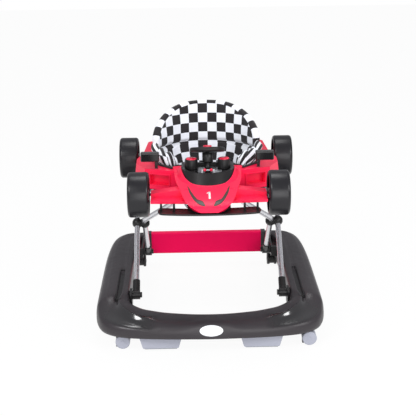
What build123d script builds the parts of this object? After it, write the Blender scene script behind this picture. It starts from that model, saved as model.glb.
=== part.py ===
from build123d import *
import os
from math import atan2, cos, degrees, radians, sin

# Baby walker in the form of a racing car: a horseshoe base on four twin-disc casters, two pairs
# of crossed legs that fold like scissors, and a play tray with a fabric seat.
# Millimetres. X runs across, the front faces -Y, Z is up and the floor is Z = 0.
# Left is the side of +X, the left hand of a child who sits in the seat.

os.makedirs("parts", exist_ok=True)

# Fits
run_gap = 0.05        # radial running clearance of a pin in its bore
side_gap = 0.5        # side clearance between pieces that move past each other
seat_gap = 0.3        # gap between fabric and what carries it

# Base ring
base_half_width = 323.0
base_half_depth = 357.0
base_bottom = 42.0
base_waist = 62.0
base_top = 113.0
base_wall = 3.0
shoulder_inset = 22.0
arm_width = 94.0
bumper_depth = 78.0
front_corner_x = 300.0
front_bow = 28.0
front_corner_radius = 88.0
side_straight = 170.0
rear_corner_x = 294.0
inner_corner_radius = 45.0
inner_bow = 24.0
bumper_crest = 89.0
bumper_round = 30.0
bumper_flat_drop = 2.0
bumper_rise = 55.0
neck_half_gap = 197.0
neck_length = 41.0
neck_radius = 8.0
slot_x = 259.0
slot_width = 13.0
slot_length = 226.0
slot_mid_y = -106.0
liner_depth = 9.0
liner_thickness = 2.0
floor_half_width = 214.0

# Badge on the bumper
badge_width = 64.0
badge_height = 31.0
badge_thickness = 3.0
badge_mid_z = 65.0
badge_lean = 12.0
badge_setback = 8.5
badge_gap = 0.2

# Rear crossbar
crossbar_half_length = 183.0
crossbar_thickness = 25.0
crossbar_height = 72.0
crossbar_wall = 2.5
crossbar_setback = 4.0
crossbar_edge_radius = 4.0
socket_lip = 2.0
socket_tongue = 12.0
tongue_gap = 0.3

# Stair-stop blocks under the bumper
pad_inner_x = 80.0
pad_outer_x = 198.0
pad_draft = 10.0
pad_front_y = -331.0
pad_depth = 32.0
pad_bottom = 6.5
strip_thickness = 2.5
strip_inset = 3.0

# Casters
caster_radius = 20.0
caster_disc_width = 9.0
caster_disc_edge = 2.5
caster_core_width = 13.0
caster_core_radius = 16.5
caster_trail = 14.0
caster_axle_radius = 3.0
caster_axle_head = 4.5
caster_axle_proud = 1.0
stem_radius = 5.0
stem_top = 72.0
boss_radius = 11.0
front_stem_x = 258.0
front_stem_y = -300.0
rear_stem_x = 219.0
rear_stem_y = 335.0

# Crossed legs
leg_radius = 8.0
leg_wall = 1.6
lower_half = 240.0
upper_half = 187.0
leg_angle = 41.0
fold_travel = 22.0
pivot_z = 96.0
front_pivot_y = -160.0
front_leg_x = 211.0
rear_leg_x = 189.0
rear_leg_top_x = 100.0
front_leg_top_x = 165.0
leg_bend_start = 22.0
leg_bend_radius = 30.0
leg_top_straight = 42.0
hub_radius = 15.5
pivot_pin_radius = 5.0
pin_head_radius = 8.0
pin_head_length = 5.0
foot_eye_radius = 13.0
foot_eye_width = 22.0
foot_sleeve_radius = 10.5
foot_sleeve_length = 46.0
leg_end_inset = 15.0
top_eye_radius = 11.0
top_eye_width = 20.0
top_sleeve_radius = 9.5
top_sleeve_length = 29.0

# Brackets, rails and sliders
bracket_length = 46.0
bracket_drop = 34.0
bracket_rise = 14.0
rail_thickness = 5.0
rail_margin = 9.0
rail_half_height = 16.0
slider_length = 16.0
slider_half_height = 5.0
flange_thickness = 4.0
flange_length = 22.0
flange_half_height = 8.0
rail_foot_length = 12.0
hinge_plate = 5.0
hinge_length = 28.0

# Play tray in the form of a racing car
tray_floor = 391.0
underpan_thickness = 3.0
tray_top = 447.0
tray_wall = 3.0
pod_taper = 7.0
pod_front_x = 184.0
pod_front_y = -74.0
pod_inner_x = 92.0
pod_inner_y = -112.0
pod_half_width = 213.0
pod_wide_y = -12.0
pod_waist_y = 40.0
tail_half_width = 196.0
tail_start_y = 116.0
tail_corner_x = 186.0
tail_end_y = 262.0
tail_round = 22.0
intake_depth = 18.0
intake_height = 30.0
intake_margin = 10.0
opening_half_width = 147.0
opening_front_y = -54.0
opening_notch_x = 103.0
opening_notch_y = -78.0
opening_flat_x = 88.0
opening_corner_y = -28.0
opening_side_y = 62.0
opening_rear_y = 166.0

# Nose
nose_tip_y = -318.0
nose_root_y = -70.0
nose_tip_half = 40.0
nose_root_half = 102.0
nose_root_top = 456.0
nose_tip_height = 14.0
nose_flare = 18.0
nose_crown = 4.0
nose_shares = (0.0, 0.07, 0.22, 0.45, 0.72, 1.0)
nose_width_power = 0.45
nose_height_power = 0.62

# Front suspension and toy wheels
toy_wheel_radius = 65.0
toy_wheel_width = 62.0
toy_wheel_edge = 8.0
toy_mouth_radius = 55.0
toy_wheel_wall = 4.0
toy_hub_radius = 14.0
toy_rim_radius = 44.0
toy_rim_depth = 12.0
toy_axle_radius = 4.0
axle_cap_radius = 9.0
axle_cap_length = 3.0
toy_wheel_z = 411.0
front_wheel_x = 192.0
front_wheel_y = -207.0
rear_wheel_x = 237.0
rear_wheel_y = 193.0
wishbone_half_span = 158.0
wishbone_front_y = -272.0
wishbone_rear_y = -168.0
wishbone_thickness = 7.0
wishbone_z = 402.0
arm_root_height = 30.0
arm_tip_height = 16.0
arm_depth = 40.0
rear_arm_width = 34.0
rear_arm_height = 18.0

# Front wing
wing_half_span = 138.0
wing_front_y = -318.0
wing_depth = 52.0
wing_thickness = 6.0
wing_z = 380.0
wing_post = 5.0
wing_post_xs = (93.0, 127.0)
wing_post_setback = 12.0

# Console, steering wheel and toys
cowl_half_width = 74.0
cowl_rear_y = -62.0
cowl_front_y = -216.0
cowl_side_y = -120.0
cowl_top = 462.0
cowl_bottom = 430.0
cowl_front_slope = 26.0
dash_depth = 7.0
dash_margin = 9.0
dash_thickness = 3.0
grille_x = 26.0
grille_y = -138.0
grille_width = 26.0
grille_depth = 18.0
grille_thickness = 1.5
speaker_radius = 14.0
speaker_height = 8.0
knob_radius = 18.5
knob_height = 30.0
knob_cap_height = 9.0
knob_lobes = 10
knob_lobe_radius = 4.0
knob_x = 46.0
knob_y = -104.0
knob_spigot_radius = 5.0
steer_y = -112.0
steer_rise = 47.0
steer_rake = 17.0
column_radius = 11.5
column_pin_radius = 6.0
column_pin_length = 14.0
rim_half_width = 50.0
rim_half_depth = 40.0
rim_tube = 6.5
rim_round = 5.2
spoke_width = 22.0
spoke_thickness = 8.0
hub_plate_radius = 21.0
horn_radius = 12.0
horn_height = 9.0
horn_travel = 3.0
horn_proud = 6.0
bead_radius = 4.5
bead_wire_radius = 1.5
bead_spacing = 9.0
bead_y = -150.0
bead_rise = 7.0
mirror_x = 164.0
mirror_y = -66.0
mirror_z = 481.0
mirror_width = 53.0
mirror_height = 27.0
mirror_depth = 20.0
mirror_round = 4.0
stalk_x = 146.0
stalk_width = 9.0
battery_box_width = 62.0
battery_box_depth = 38.0
battery_box_height = 22.0
battery_wall = 2.0
battery_y = -185.0
cell_radius = 7.0
cell_length = 50.0
door_margin = 4.0

# Seat
piping_width = 5.0
piping_height = 5.0
back_thickness = 28.0
back_end_thickness = 16.0
back_half_width = 166.0
back_top = 590.0
back_lean = 32.0
back_clear = 4.0
# Levels of the padded back as shares: height, width, how far the ends are drawn back, fullness.
# The third level is the crease across the back.
back_levels = (
    (0.0, 1.0, 0.0, 0.9),
    (0.08, 1.0, 0.01, 1.0),
    (0.14, 1.0, 0.02, 0.75),
    (0.2, 1.0, 0.03, 1.05),
    (0.35, 1.0, 0.06, 1.12),
    (0.5, 0.98, 0.11, 1.15),
    (0.66, 0.92, 0.30, 1.15),
    (0.8, 0.81, 0.52, 1.05),
    (0.91, 0.63, 0.73, 0.85),
    (1.0, 0.40, 0.87, 0.45),
)
sling_cloth = 4.0
# Bunched cloth at the opening's front corners: start, middle, end and radius of each roll
cloth_rolls = (
    ((116.0, -34.0, 436.0), (132.0, 0.0, 462.0), (133.0, 44.0, 440.0), 11.0),
    ((104.0, -44.0, 438.0), (116.0, -6.0, 458.0), (126.0, 40.0, 436.0), 9.0),
    ((130.0, -22.0, 446.0), (144.0, 12.0, 474.0), (157.0, 64.0, 478.0), 8.0),
)
sling_bottom = 288.0
sling_waist = 360.0
sling_low_half_width = 92.0
sling_low_half_depth = 58.0
sling_mid_y = 52.0
sling_waist_half_width = 118.0
sling_waist_half_depth = 88.0
leg_hole_radius = 34.0
leg_hole_x = 50.0
leg_hole_z = 332.0

# Fasteners
screw_radius = 4.0
screw_length = 3.0

# Places worked out from the driving dimensions
sides = (("left", 1), ("right", -1))
rest = radians(leg_angle)
folded = radians(leg_angle - fold_travel)
leg_run = Vector(0, cos(rest), sin(rest))
leg_run_back = Vector(0, -cos(rest), sin(rest))
cross_y = front_pivot_y + lower_half * cos(rest)
cross_z = pivot_z + lower_half * sin(rest)
rear_pivot_y = front_pivot_y + 2 * lower_half * cos(rest)
rear_pivot_far_y = front_pivot_y + 2 * lower_half * cos(folded)
top_z = cross_z + upper_half * sin(rest)
tray_hinge_y = cross_y - upper_half * cos(rest)
top_slider_y = cross_y + upper_half * cos(rest)
top_slider_far_y = tray_hinge_y + 2 * upper_half * cos(folded)
hub_split_x = (front_leg_x + rear_leg_x) / 2
inner_half_width = base_half_width - arm_width
inner_front_y = bumper_depth - base_half_depth
neck_y = base_half_depth - neck_length
shoulder_taper = degrees(atan2(shoulder_inset, base_top - base_waist))
underpan_z = tray_floor - underpan_thickness
crossbar_y = base_half_depth - crossbar_setback - crossbar_thickness / 2
crossbar_z = base_top - crossbar_height / 2
far = 2 * base_half_depth
round_share = 1 - cos(radians(45))


def save(node, name):
    """Label a finished node and write it to its own file."""
    node.part.label = name
    export_step(node.part, f"parts/{name}.step")


def across(x, y, z):
    """Plane at a point whose normal runs across the walker, along +X."""
    return Plane(origin=(x, y, z), x_dir=(0, 1, 0), z_dir=(1, 0, 0))


def facing(point, direction):
    """Plane at a point whose normal is the given direction."""
    return Plane(origin=point, z_dir=direction)


def rod(plane, radius, length):
    """Round rod along a plane's normal, starting on the plane."""
    with BuildPart() as part:
        with BuildSketch(plane):
            Circle(radius)
        extrude(amount=length)
    return part.part


# Base shell
def base_form(inset, bottom):
    """The ring base as one solid. A positive inset gives the hollow inside its walls."""
    front_y = inset - base_half_depth
    corner_y = front_bow - base_half_depth
    with BuildPart() as form:
        with BuildSketch(Plane.XY.offset(base_waist)) as plan:
            with BuildLine():
                ThreePointArc((-front_corner_x, corner_y), (0, -base_half_depth), (front_corner_x, corner_y))
                Polyline(
                    (front_corner_x, corner_y),
                    (base_half_width, -side_straight / 2),
                    (base_half_width, side_straight / 2),
                    (rear_corner_x, base_half_depth + shoulder_inset),
                    (-rear_corner_x, base_half_depth + shoulder_inset),
                    (-base_half_width, side_straight / 2),
                    (-base_half_width, -side_straight / 2),
                    (-front_corner_x, corner_y),
                )
            make_face()
            fillet(plan.vertices(), front_corner_radius)
            if inset:
                offset(amount=-inset, mode=Mode.REPLACE)
        extrude(amount=base_top - inset - base_waist, taper=shoulder_taper)
        extrude(plan.sketch, amount=bottom - base_waist)
        with BuildSketch(Plane.XY.offset(bottom)) as opening:
            inner_y = inner_front_y + inner_bow
            with BuildLine():
                ThreePointArc((-inner_half_width, inner_y), (0, inner_front_y), (inner_half_width, inner_y))
                Polyline(
                    (inner_half_width, inner_y),
                    (inner_half_width, neck_y),
                    (neck_half_gap, neck_y),
                    (neck_half_gap, far),
                    (-neck_half_gap, far),
                    (-neck_half_gap, neck_y),
                    (-inner_half_width, neck_y),
                    (-inner_half_width, inner_y),
                )
            make_face()
            front_corners = opening.vertices().sort_by(Axis.Y)[:2]
            fillet(front_corners, inner_corner_radius)
            neck_corners = opening.vertices().filter_by_position(Axis.Y, neck_y - side_gap, neck_y + side_gap)
            fillet(neck_corners, neck_radius)
            if inset:
                offset(amount=inset, mode=Mode.REPLACE)
        extrude(amount=base_top, mode=Mode.SUBTRACT)
        rear_y = base_half_depth - inset
        with BuildSketch(Plane.XZ.offset(-rear_y)):
            Rectangle(2 * far, 2 * far)
        extrude(amount=-far, mode=Mode.SUBTRACT)
        crest_z = bumper_crest - inset
        crest_y = inner_front_y + inset
        rise_y = crest_y + bumper_rise
        rise_z = base_top - inset
        with BuildSketch(Plane.YZ.offset(-far)):
            with BuildLine():
                low = (front_y, base_waist)
                round_end = (front_y + bumper_round, crest_z - bumper_flat_drop)
                round_mid = (front_y + bumper_round * round_share, crest_z - bumper_round * round_share)
                crest = (crest_y, crest_z)
                ThreePointArc(low, round_mid, round_end)
                Line(round_end, crest)
                Spline(crest, (rise_y, rise_z), tangents=((1, 0), (1, 0)))
                Polyline((rise_y, rise_z), (rise_y, far), (-far, far), (-far, base_waist), low)
            make_face()
        extrude(amount=2 * far, mode=Mode.SUBTRACT)
    return form.part


badge_plane = Plane(
    origin=(0, badge_setback - base_half_depth, badge_mid_z),
    x_dir=(1, 0, 0),
    z_dir=(0, -cos(radians(badge_lean)), sin(radians(badge_lean))),
)
stem_places = [
    ("front_left", front_stem_x, front_stem_y),
    ("front_right", -front_stem_x, front_stem_y),
    ("rear_left", rear_stem_x, rear_stem_y),
    ("rear_right", -rear_stem_x, rear_stem_y),
]
base_solid = base_form(0, base_bottom)
base_hollow = base_form(base_wall, base_bottom - base_wall)

with BuildPart() as inner_ribs:
    with BuildSketch(Plane.XY.offset(base_bottom)):
        for _, x, y in stem_places:
            with Locations((x, y)):
                Circle(boss_radius)
    extrude(amount=base_top)
    with BuildSketch(Plane.XY.offset(base_bottom)):
        with Locations((0, inner_front_y)):
            Rectangle(2 * floor_half_width, 2 * bumper_depth)
    extrude(amount=base_wall)
    with BuildSketch(badge_plane):
        Ellipse(badge_width / 2 + base_wall, badge_height / 2 + base_wall)
    extrude(amount=-base_wall)
    add(base_solid, mode=Mode.INTERSECT)

with BuildPart() as base_shell:
    add(base_solid)
    add(base_hollow, mode=Mode.SUBTRACT)
    add(inner_ribs.part)
    with BuildSketch(Plane.XY.offset(base_top)):
        for _, side in sides:
            with Locations((side * slot_x, slot_mid_y)):
                SlotOverall(slot_length, slot_width, rotation=90)
    extrude(amount=-2 * base_wall, mode=Mode.SUBTRACT)
    with BuildSketch(Plane.XY.offset(base_bottom)):
        for _, x, y in stem_places:
            with Locations((x, y)):
                Circle(stem_radius + run_gap)
    extrude(amount=stem_top + side_gap - base_bottom, mode=Mode.SUBTRACT)
    with BuildSketch(badge_plane):
        Ellipse(badge_width / 2 + badge_gap, badge_height / 2 + badge_gap)
    extrude(amount=bumper_depth, mode=Mode.SUBTRACT)
save(base_shell, "base_shell")

with BuildPart() as badge_plate:
    with BuildSketch(badge_plane):
        Ellipse(badge_width / 2, badge_height / 2)
    extrude(amount=badge_thickness)
    fillet(badge_plate.faces().sort_by(Axis.Y)[0].edges(), badge_thickness / 3)
save(badge_plate, "badge_plate")

with BuildPart() as slot_liners:
    with BuildSketch(Plane.XY.offset(base_top - base_wall)) as liner_plan:
        for _, side in sides:
            with Locations((side * slot_x, slot_mid_y)):
                SlotOverall(slot_length + 2 * liner_thickness, slot_width + 2 * liner_thickness, rotation=90)
    extrude(amount=-liner_depth)
    with BuildSketch(Plane.XY.offset(base_top - base_wall)):
        for _, side in sides:
            with Locations((side * slot_x, slot_mid_y)):
                SlotOverall(slot_length, slot_width, rotation=90)
    extrude(amount=liner_thickness - liner_depth, mode=Mode.SUBTRACT)
save(slot_liners, "slot_liners")

# Rear crossbar and its end sockets
with BuildPart() as rear_crossbar:
    with BuildSketch(across(-crossbar_half_length, crossbar_y, crossbar_z)):
        RectangleRounded(crossbar_thickness, crossbar_height, crossbar_edge_radius)
        offset(amount=-crossbar_wall, mode=Mode.SUBTRACT)
    extrude(amount=2 * crossbar_half_length)
save(rear_crossbar, "rear_crossbar")

with BuildPart() as crossbar_sockets:
    tongue_shrink = 2 * (crossbar_wall + tongue_gap)
    with BuildSketch(across(crossbar_half_length, crossbar_y, crossbar_z)):
        Rectangle(crossbar_thickness + 2 * socket_lip, crossbar_height)
    extrude(amount=neck_half_gap - crossbar_half_length)
    with BuildSketch(across(crossbar_half_length, crossbar_y, crossbar_z)):
        tongue_width = crossbar_thickness - tongue_shrink
        tongue_height = crossbar_height - tongue_shrink
        RectangleRounded(tongue_width, tongue_height, crossbar_edge_radius - crossbar_wall)
    extrude(amount=-socket_tongue)
    mirror(about=Plane.YZ)
save(crossbar_sockets, "crossbar_sockets")

# Stair-stop blocks under the bumper
with BuildPart() as brake_pads:
    with BuildSketch(Plane.XZ.offset(-pad_front_y)):
        with BuildLine():
            Polyline(
                (pad_inner_x, base_bottom),
                (pad_outer_x, base_bottom),
                (pad_outer_x - pad_draft, pad_bottom),
                (pad_inner_x + pad_draft, pad_bottom),
                close=True,
            )
        make_face()
    extrude(amount=-pad_depth)
    fillet(brake_pads.edges().filter_by(Axis.Y).group_by(Axis.Z)[0], pad_draft / 2)
    mirror(about=Plane.YZ)
save(brake_pads, "brake_pads")

with BuildPart() as brake_strips:
    strip_span = pad_outer_x - pad_inner_x - 3 * pad_draft
    strip_mid = (pad_outer_x + pad_inner_x) / 2
    strip_y = pad_front_y + pad_depth / 2
    with BuildSketch(Plane.XY.offset(pad_bottom)):
        for _, side in sides:
            with Locations((side * strip_mid, strip_y)):
                Rectangle(strip_span, pad_depth - 2 * strip_inset)
    extrude(amount=-strip_thickness)
save(brake_strips, "brake_strips")

# Casters: a black core that swivels on its stem, two discs and their axle
axle_z = caster_radius
swivels = {"front_left": 0, "front_right": 0, "rear_left": 90, "rear_right": 90}
for name, stem_x, stem_y in stem_places:
    turn = radians(swivels[name])
    trail = Vector(cos(turn), -sin(turn), 0)
    axle_dir = Vector(sin(turn), cos(turn), 0)
    axle_mid = Vector(stem_x, stem_y, axle_z) + trail * caster_trail
    half_core = caster_core_width / 2
    half_axle = half_core + side_gap + caster_disc_width + caster_axle_proud
    core_plane = Plane(origin=axle_mid - axle_dir * half_core, x_dir=trail, z_dir=axle_dir)
    axle_plane = Plane(origin=axle_mid - axle_dir * half_axle, x_dir=trail, z_dir=axle_dir)
    with BuildPart() as caster_housing:
        with BuildSketch(core_plane) as core_face:
            Circle(caster_core_radius)
            with Locations((-caster_trail, caster_core_radius / 2)):
                Rectangle(2 * stem_radius + side_gap, caster_core_radius)
            make_hull()
        extrude(amount=caster_core_width)
        stem_foot = axle_z + caster_core_radius / 2
        with BuildSketch(Plane.XY.offset(stem_foot)):
            with Locations((stem_x, stem_y)):
                Circle(stem_radius)
        extrude(amount=stem_top - stem_foot)
        with BuildSketch(axle_plane):
            Circle(caster_axle_radius + run_gap)
        extrude(amount=2 * half_axle, mode=Mode.SUBTRACT)
    save(caster_housing, f"caster_housing_{name}")
    with BuildPart() as caster_wheels:
        for reach in (half_core + side_gap, -half_core - side_gap - caster_disc_width):
            disc_plane = Plane(origin=axle_mid + axle_dir * reach, x_dir=trail, z_dir=axle_dir)
            with BuildSketch(disc_plane):
                Circle(caster_radius)
                Circle(caster_axle_radius, mode=Mode.SUBTRACT)
            extrude(amount=caster_disc_width)
        rims = caster_wheels.edges().filter_by(GeomType.CIRCLE).group_by(SortBy.RADIUS)[-1]
        fillet(rims, caster_disc_edge)
        axle = rod(axle_plane, caster_axle_radius, 2 * half_axle)
        for end in (-half_axle, half_axle - caster_axle_proud):
            head_plane = Plane(origin=axle_mid + axle_dir * end, x_dir=trail, z_dir=axle_dir)
            axle += rod(head_plane, caster_axle_head, caster_axle_proud)
    with BuildPart() as caster_set:
        caster_set.part = Compound([*caster_wheels.solids(), *axle.solids()])
    save(caster_set, f"caster_wheels_{name}")


# Crossed legs
def leg_points(foot, cross, top, run):
    """Corner points of one leg tube, from its foot to its top end."""
    bend = cross + run * leg_bend_start
    straight = top - run * leg_top_straight
    return foot + run * leg_end_inset, bend, straight, top - run * leg_end_inset


def leg_tube(points, run, cross):
    """Round tube along the leg's points with a cross hole for the pivot bolt."""
    with BuildPart() as tube:
        with BuildLine() as path:
            FilletPolyline(*points, radius=leg_bend_radius)
        with BuildSketch(facing(points[0], run)):
            Circle(leg_radius)
            Circle(leg_radius - leg_wall, mode=Mode.SUBTRACT)
        sweep(path=path.wires()[0])
        hole = across(cross.X - 2 * leg_radius, cross.Y, cross.Z)
        add(rod(hole, pivot_pin_radius + run_gap, 4 * leg_radius), mode=Mode.SUBTRACT)
    return tube.part


def end_fitting(pivot, run, eye_radius, eye_width, sleeve_radius, sleeve_length):
    """Black end piece: an eye across the leg and a sleeve that holds the tube's end."""
    eye_start = across(pivot.X - eye_width / 2, pivot.Y, pivot.Z)
    with BuildPart() as fitting:
        add(rod(facing(pivot, run), sleeve_radius, sleeve_length))
        add(rod(eye_start, eye_radius, eye_width))
        tube_start = pivot + run * leg_end_inset
        add(rod(facing(tube_start, run), leg_radius, sleeve_length), mode=Mode.SUBTRACT)
        add(rod(eye_start, pivot_pin_radius + run_gap, eye_width), mode=Mode.SUBTRACT)
    return fitting.part


def hub(cross, run, outer):
    """Ball on the crossing, cut flat where it faces its partner on the other leg."""
    with BuildPart() as ball:
        with Locations(cross):
            Sphere(hub_radius)
        add(rod(facing(cross - run * far, run), leg_radius, 2 * far), mode=Mode.SUBTRACT)
        bolt_line = across(cross.X - hub_radius, cross.Y, cross.Z)
        add(rod(bolt_line, pivot_pin_radius + run_gap, 2 * hub_radius), mode=Mode.SUBTRACT)
        reach = abs(abs(cross.X) - hub_split_x) - side_gap / 2
        cut_x = cross.X - outer * reach
        with BuildSketch(across(cut_x, cross.Y, cross.Z)):
            Rectangle(4 * hub_radius, 4 * hub_radius)
        extrude(amount=-outer * 2 * hub_radius, mode=Mode.SUBTRACT)
    return ball.part


front_tubes = []
rear_tubes = []
front_feet = []
front_tops = []
front_hubs = []
rear_feet = []
rear_tops = []
rear_hubs = []
for _, side in sides:
    front_foot = Vector(side * front_leg_x, front_pivot_y, pivot_z)
    front_cross = Vector(side * front_leg_x, cross_y, cross_z)
    front_top = Vector(side * front_leg_top_x, top_slider_y, top_z)
    front_points = leg_points(front_foot, front_cross, front_top, leg_run)
    front_tubes.append(leg_tube(front_points, leg_run, front_cross))
    foot_sizes = (foot_eye_radius, foot_eye_width, foot_sleeve_radius, foot_sleeve_length)
    top_sizes = (top_eye_radius, top_eye_width, top_sleeve_radius, top_sleeve_length)
    front_feet.append(end_fitting(front_foot, leg_run, *foot_sizes))
    front_tops.append(end_fitting(front_top, -leg_run, *top_sizes))
    front_hubs.append(hub(front_cross, leg_run, side))
    rear_foot = Vector(side * rear_leg_x, rear_pivot_y, pivot_z)
    rear_cross = Vector(side * rear_leg_x, cross_y, cross_z)
    rear_top = Vector(side * rear_leg_top_x, tray_hinge_y, top_z)
    rear_points = leg_points(rear_foot, rear_cross, rear_top, leg_run_back)
    rear_tubes.append(leg_tube(rear_points, leg_run_back, rear_cross))
    rear_feet.append(end_fitting(rear_foot, leg_run_back, *foot_sizes))
    rear_tops.append(end_fitting(rear_top, -leg_run_back, *top_sizes))
    rear_hubs.append(hub(rear_cross, leg_run_back, -side))

leg_groups = {
    "front_leg_tubes": front_tubes,
    "rear_leg_tubes": rear_tubes,
    "front_leg_feet": front_feet,
    "front_leg_eyes": front_tops,
    "front_leg_hubs": front_hubs,
    "rear_leg_feet": rear_feet,
    "rear_leg_eyes": rear_tops,
    "rear_leg_hubs": rear_hubs,
}
for name, pieces in leg_groups.items():
    with BuildPart() as leg_group:
        for piece in pieces:
            add(piece)
    save(leg_group, name)

with BuildPart() as pivot_bolts:
    bolt_inner = rear_leg_x - hub_radius + pin_head_length / 2
    bolt_outer = front_leg_x + hub_radius - pin_head_length / 2
    add(rod(across(bolt_inner, cross_y, cross_z), pivot_pin_radius, bolt_outer - bolt_inner))
    mirror(about=Plane.YZ)
save(pivot_bolts, "pivot_bolts")

# Fixed hinge of the front legs: a bracket on the arm's inner wall and its headed pin
with BuildPart() as front_leg_hinges:
    bracket_inner = front_leg_x + foot_eye_width / 2 + side_gap
    with BuildSketch(across(bracket_inner, front_pivot_y, pivot_z)):
        with Locations((0, (bracket_rise - bracket_drop) / 2)):
            RectangleRounded(bracket_length, bracket_rise + bracket_drop, bracket_rise / 2)
    extrude(amount=inner_half_width - bracket_inner)
    pin_inner = front_leg_x - foot_eye_width / 2 - side_gap
    head_start = pin_inner - pin_head_length
    add(rod(across(pin_inner, front_pivot_y, pivot_z), pivot_pin_radius, bracket_inner - pin_inner))
    add(rod(across(head_start, front_pivot_y, pivot_z), pin_head_radius, pin_head_length))
    mirror(about=Plane.YZ)
save(front_leg_hinges, "front_leg_hinges")


# Slotted rails and the sliders that run in them
def slotted_plate(x, start_y, end_y, slot_start, slot_end, z, low, high):
    """Upright plate, facing across, with a long level slot for a slider."""
    with BuildPart() as plate:
        with BuildSketch(across(x, 0, z)):
            with Locations(((start_y + end_y) / 2, (high + low) / 2)):
                Rectangle(end_y - start_y, high - low)
            with Locations(((slot_start + slot_end) / 2, 0)):
                Rectangle(slot_end - slot_start, 2 * (slider_half_height + side_gap), mode=Mode.SUBTRACT)
        extrude(amount=rail_thickness)
    return plate.part


def slider(x_eye, eye_width, y, z):
    """Pin with a flanged block: the pin carries a leg's eye, the block runs in a rail's slot."""
    pin_start = x_eye - eye_width / 2 - side_gap
    flange_start = x_eye + eye_width / 2 + side_gap
    rail_start = flange_start + flange_thickness
    rail_end = rail_start + rail_thickness + 2 * side_gap
    with BuildPart() as part:
        add(rod(across(pin_start, y, z), pivot_pin_radius, flange_start - pin_start))
        add(rod(across(pin_start - pin_head_length, y, z), pin_head_radius, pin_head_length))
        for start in (flange_start, rail_end):
            with BuildSketch(across(start, y, z)):
                Rectangle(flange_length, 2 * flange_half_height)
            extrude(amount=flange_thickness)
        with BuildSketch(across(rail_start, y, z)):
            Rectangle(slider_length, 2 * slider_half_height)
        extrude(amount=rail_end - rail_start)
    return part.part


slot_slack = slider_length / 2 + side_gap
base_rail_x = rear_leg_x + foot_eye_width / 2 + flange_thickness + 2 * side_gap
rail_start_y = rear_pivot_y - flange_length / 2 - side_gap - rail_foot_length
with BuildPart() as rear_rails:
    add(
        slotted_plate(
            base_rail_x,
            rail_start_y,
            neck_y,
            rear_pivot_y - slot_slack,
            rear_pivot_far_y + slot_slack,
            pivot_z,
            -rail_half_height,
            rail_half_height,
        )
    )
    with BuildSketch(across(base_rail_x, rail_start_y + rail_foot_length / 2, pivot_z)):
        Rectangle(rail_foot_length, 2 * rail_half_height)
    extrude(amount=inner_half_width - base_rail_x)
    mirror(about=Plane.YZ)
save(rear_rails, "rear_rails")

with BuildPart() as rear_sliders:
    add(slider(rear_leg_x, foot_eye_width, rear_pivot_y, pivot_z))
    mirror(about=Plane.YZ)
save(rear_sliders, "rear_sliders")

tray_rail_x = front_leg_top_x + top_eye_width / 2 + flange_thickness + 2 * side_gap
with BuildPart() as tray_rails:
    add(
        slotted_plate(
            tray_rail_x,
            top_slider_y - slot_slack - rail_margin,
            top_slider_far_y + slot_slack + rail_margin,
            top_slider_y - slot_slack,
            top_slider_far_y + slot_slack,
            top_z,
            -rail_half_height,
            underpan_z - top_z,
        )
    )
    mirror(about=Plane.YZ)
save(tray_rails, "tray_rails")

with BuildPart() as top_sliders:
    add(slider(front_leg_top_x, top_eye_width, top_slider_y, top_z))
    mirror(about=Plane.YZ)
save(top_sliders, "top_sliders")

# Hinge of the tray on the rear legs: two cheeks and a headed pin on each side
hinge_half = top_eye_width / 2 + side_gap
with BuildPart() as tray_hinges:
    for start in (rear_leg_top_x - hinge_half - hinge_plate, rear_leg_top_x + hinge_half):
        hinge_low = top_z - hinge_length / 2
        with BuildSketch(across(start, tray_hinge_y, (underpan_z + hinge_low) / 2)):
            Rectangle(hinge_length, underpan_z - hinge_low)
        extrude(amount=hinge_plate)
    pin_reach = hinge_half + hinge_plate
    add(rod(across(rear_leg_top_x - pin_reach, tray_hinge_y, top_z), pivot_pin_radius, 2 * pin_reach))
    for start in (rear_leg_top_x - pin_reach - pin_head_length / 2, rear_leg_top_x + pin_reach):
        add(rod(across(start, tray_hinge_y, top_z), pin_head_radius, pin_head_length / 2))
    mirror(about=Plane.YZ)
save(tray_hinges, "tray_hinges")


# Outlines that several tray pieces share
def tub_outline():
    """Closed plan outline of the car's side pods and tail."""
    right = [
        (pod_inner_x, pod_inner_y),
        (pod_front_x, pod_front_y),
        (pod_half_width, pod_wide_y),
        (pod_half_width, pod_waist_y),
        (tail_half_width, tail_start_y),
        (tail_corner_x, tail_end_y),
    ]
    left = [(-x, y) for x, y in reversed(right)]
    return Polyline(*right, *left, close=True)


def opening_outline():
    """Closed plan outline of the seat opening."""
    right = [
        (opening_flat_x, opening_front_y),
        (opening_notch_x, opening_notch_y),
        (opening_half_width, opening_corner_y),
        (opening_half_width, opening_side_y),
    ]
    left = [(-x, y) for x, y in reversed(right)]
    front = Polyline(*left, *right)
    ThreePointArc(right[-1], (0, opening_rear_y), left[0])
    return front


def nose_loft(inset, drop):
    """Nose of the car, widening and rising from its tip to its root."""
    with BuildPart() as nose:
        for share in nose_shares:
            length = nose_root_y - nose_tip_y - 2 * inset
            half = nose_tip_half + (nose_root_half - nose_tip_half) * share ** nose_width_power - inset
            tip_top = tray_floor + nose_tip_height
            top = tip_top + (nose_root_top - tip_top) * share ** nose_height_power - inset
            low = tray_floor - drop
            foot = half - nose_flare
            brow = top - nose_crown
            with BuildSketch(Plane.XZ.offset(-nose_tip_y - inset - share * length)):
                with BuildLine():
                    Polyline((-half, brow), (-foot, low), (foot, low), (half, brow))
                    ThreePointArc((half, brow), (0, top), (-half, brow))
                make_face()
        loft()
    return nose.part


def cowl_outline(front_y):
    """D-shaped plan outline of the console cowl."""
    with BuildLine() as outline:
        Polyline(
            (-cowl_half_width, cowl_side_y),
            (-cowl_half_width, cowl_rear_y),
            (cowl_half_width, cowl_rear_y),
            (cowl_half_width, cowl_side_y),
        )
        ThreePointArc((cowl_half_width, cowl_side_y), (0, front_y), (-cowl_half_width, cowl_side_y))
    return outline.line


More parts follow.
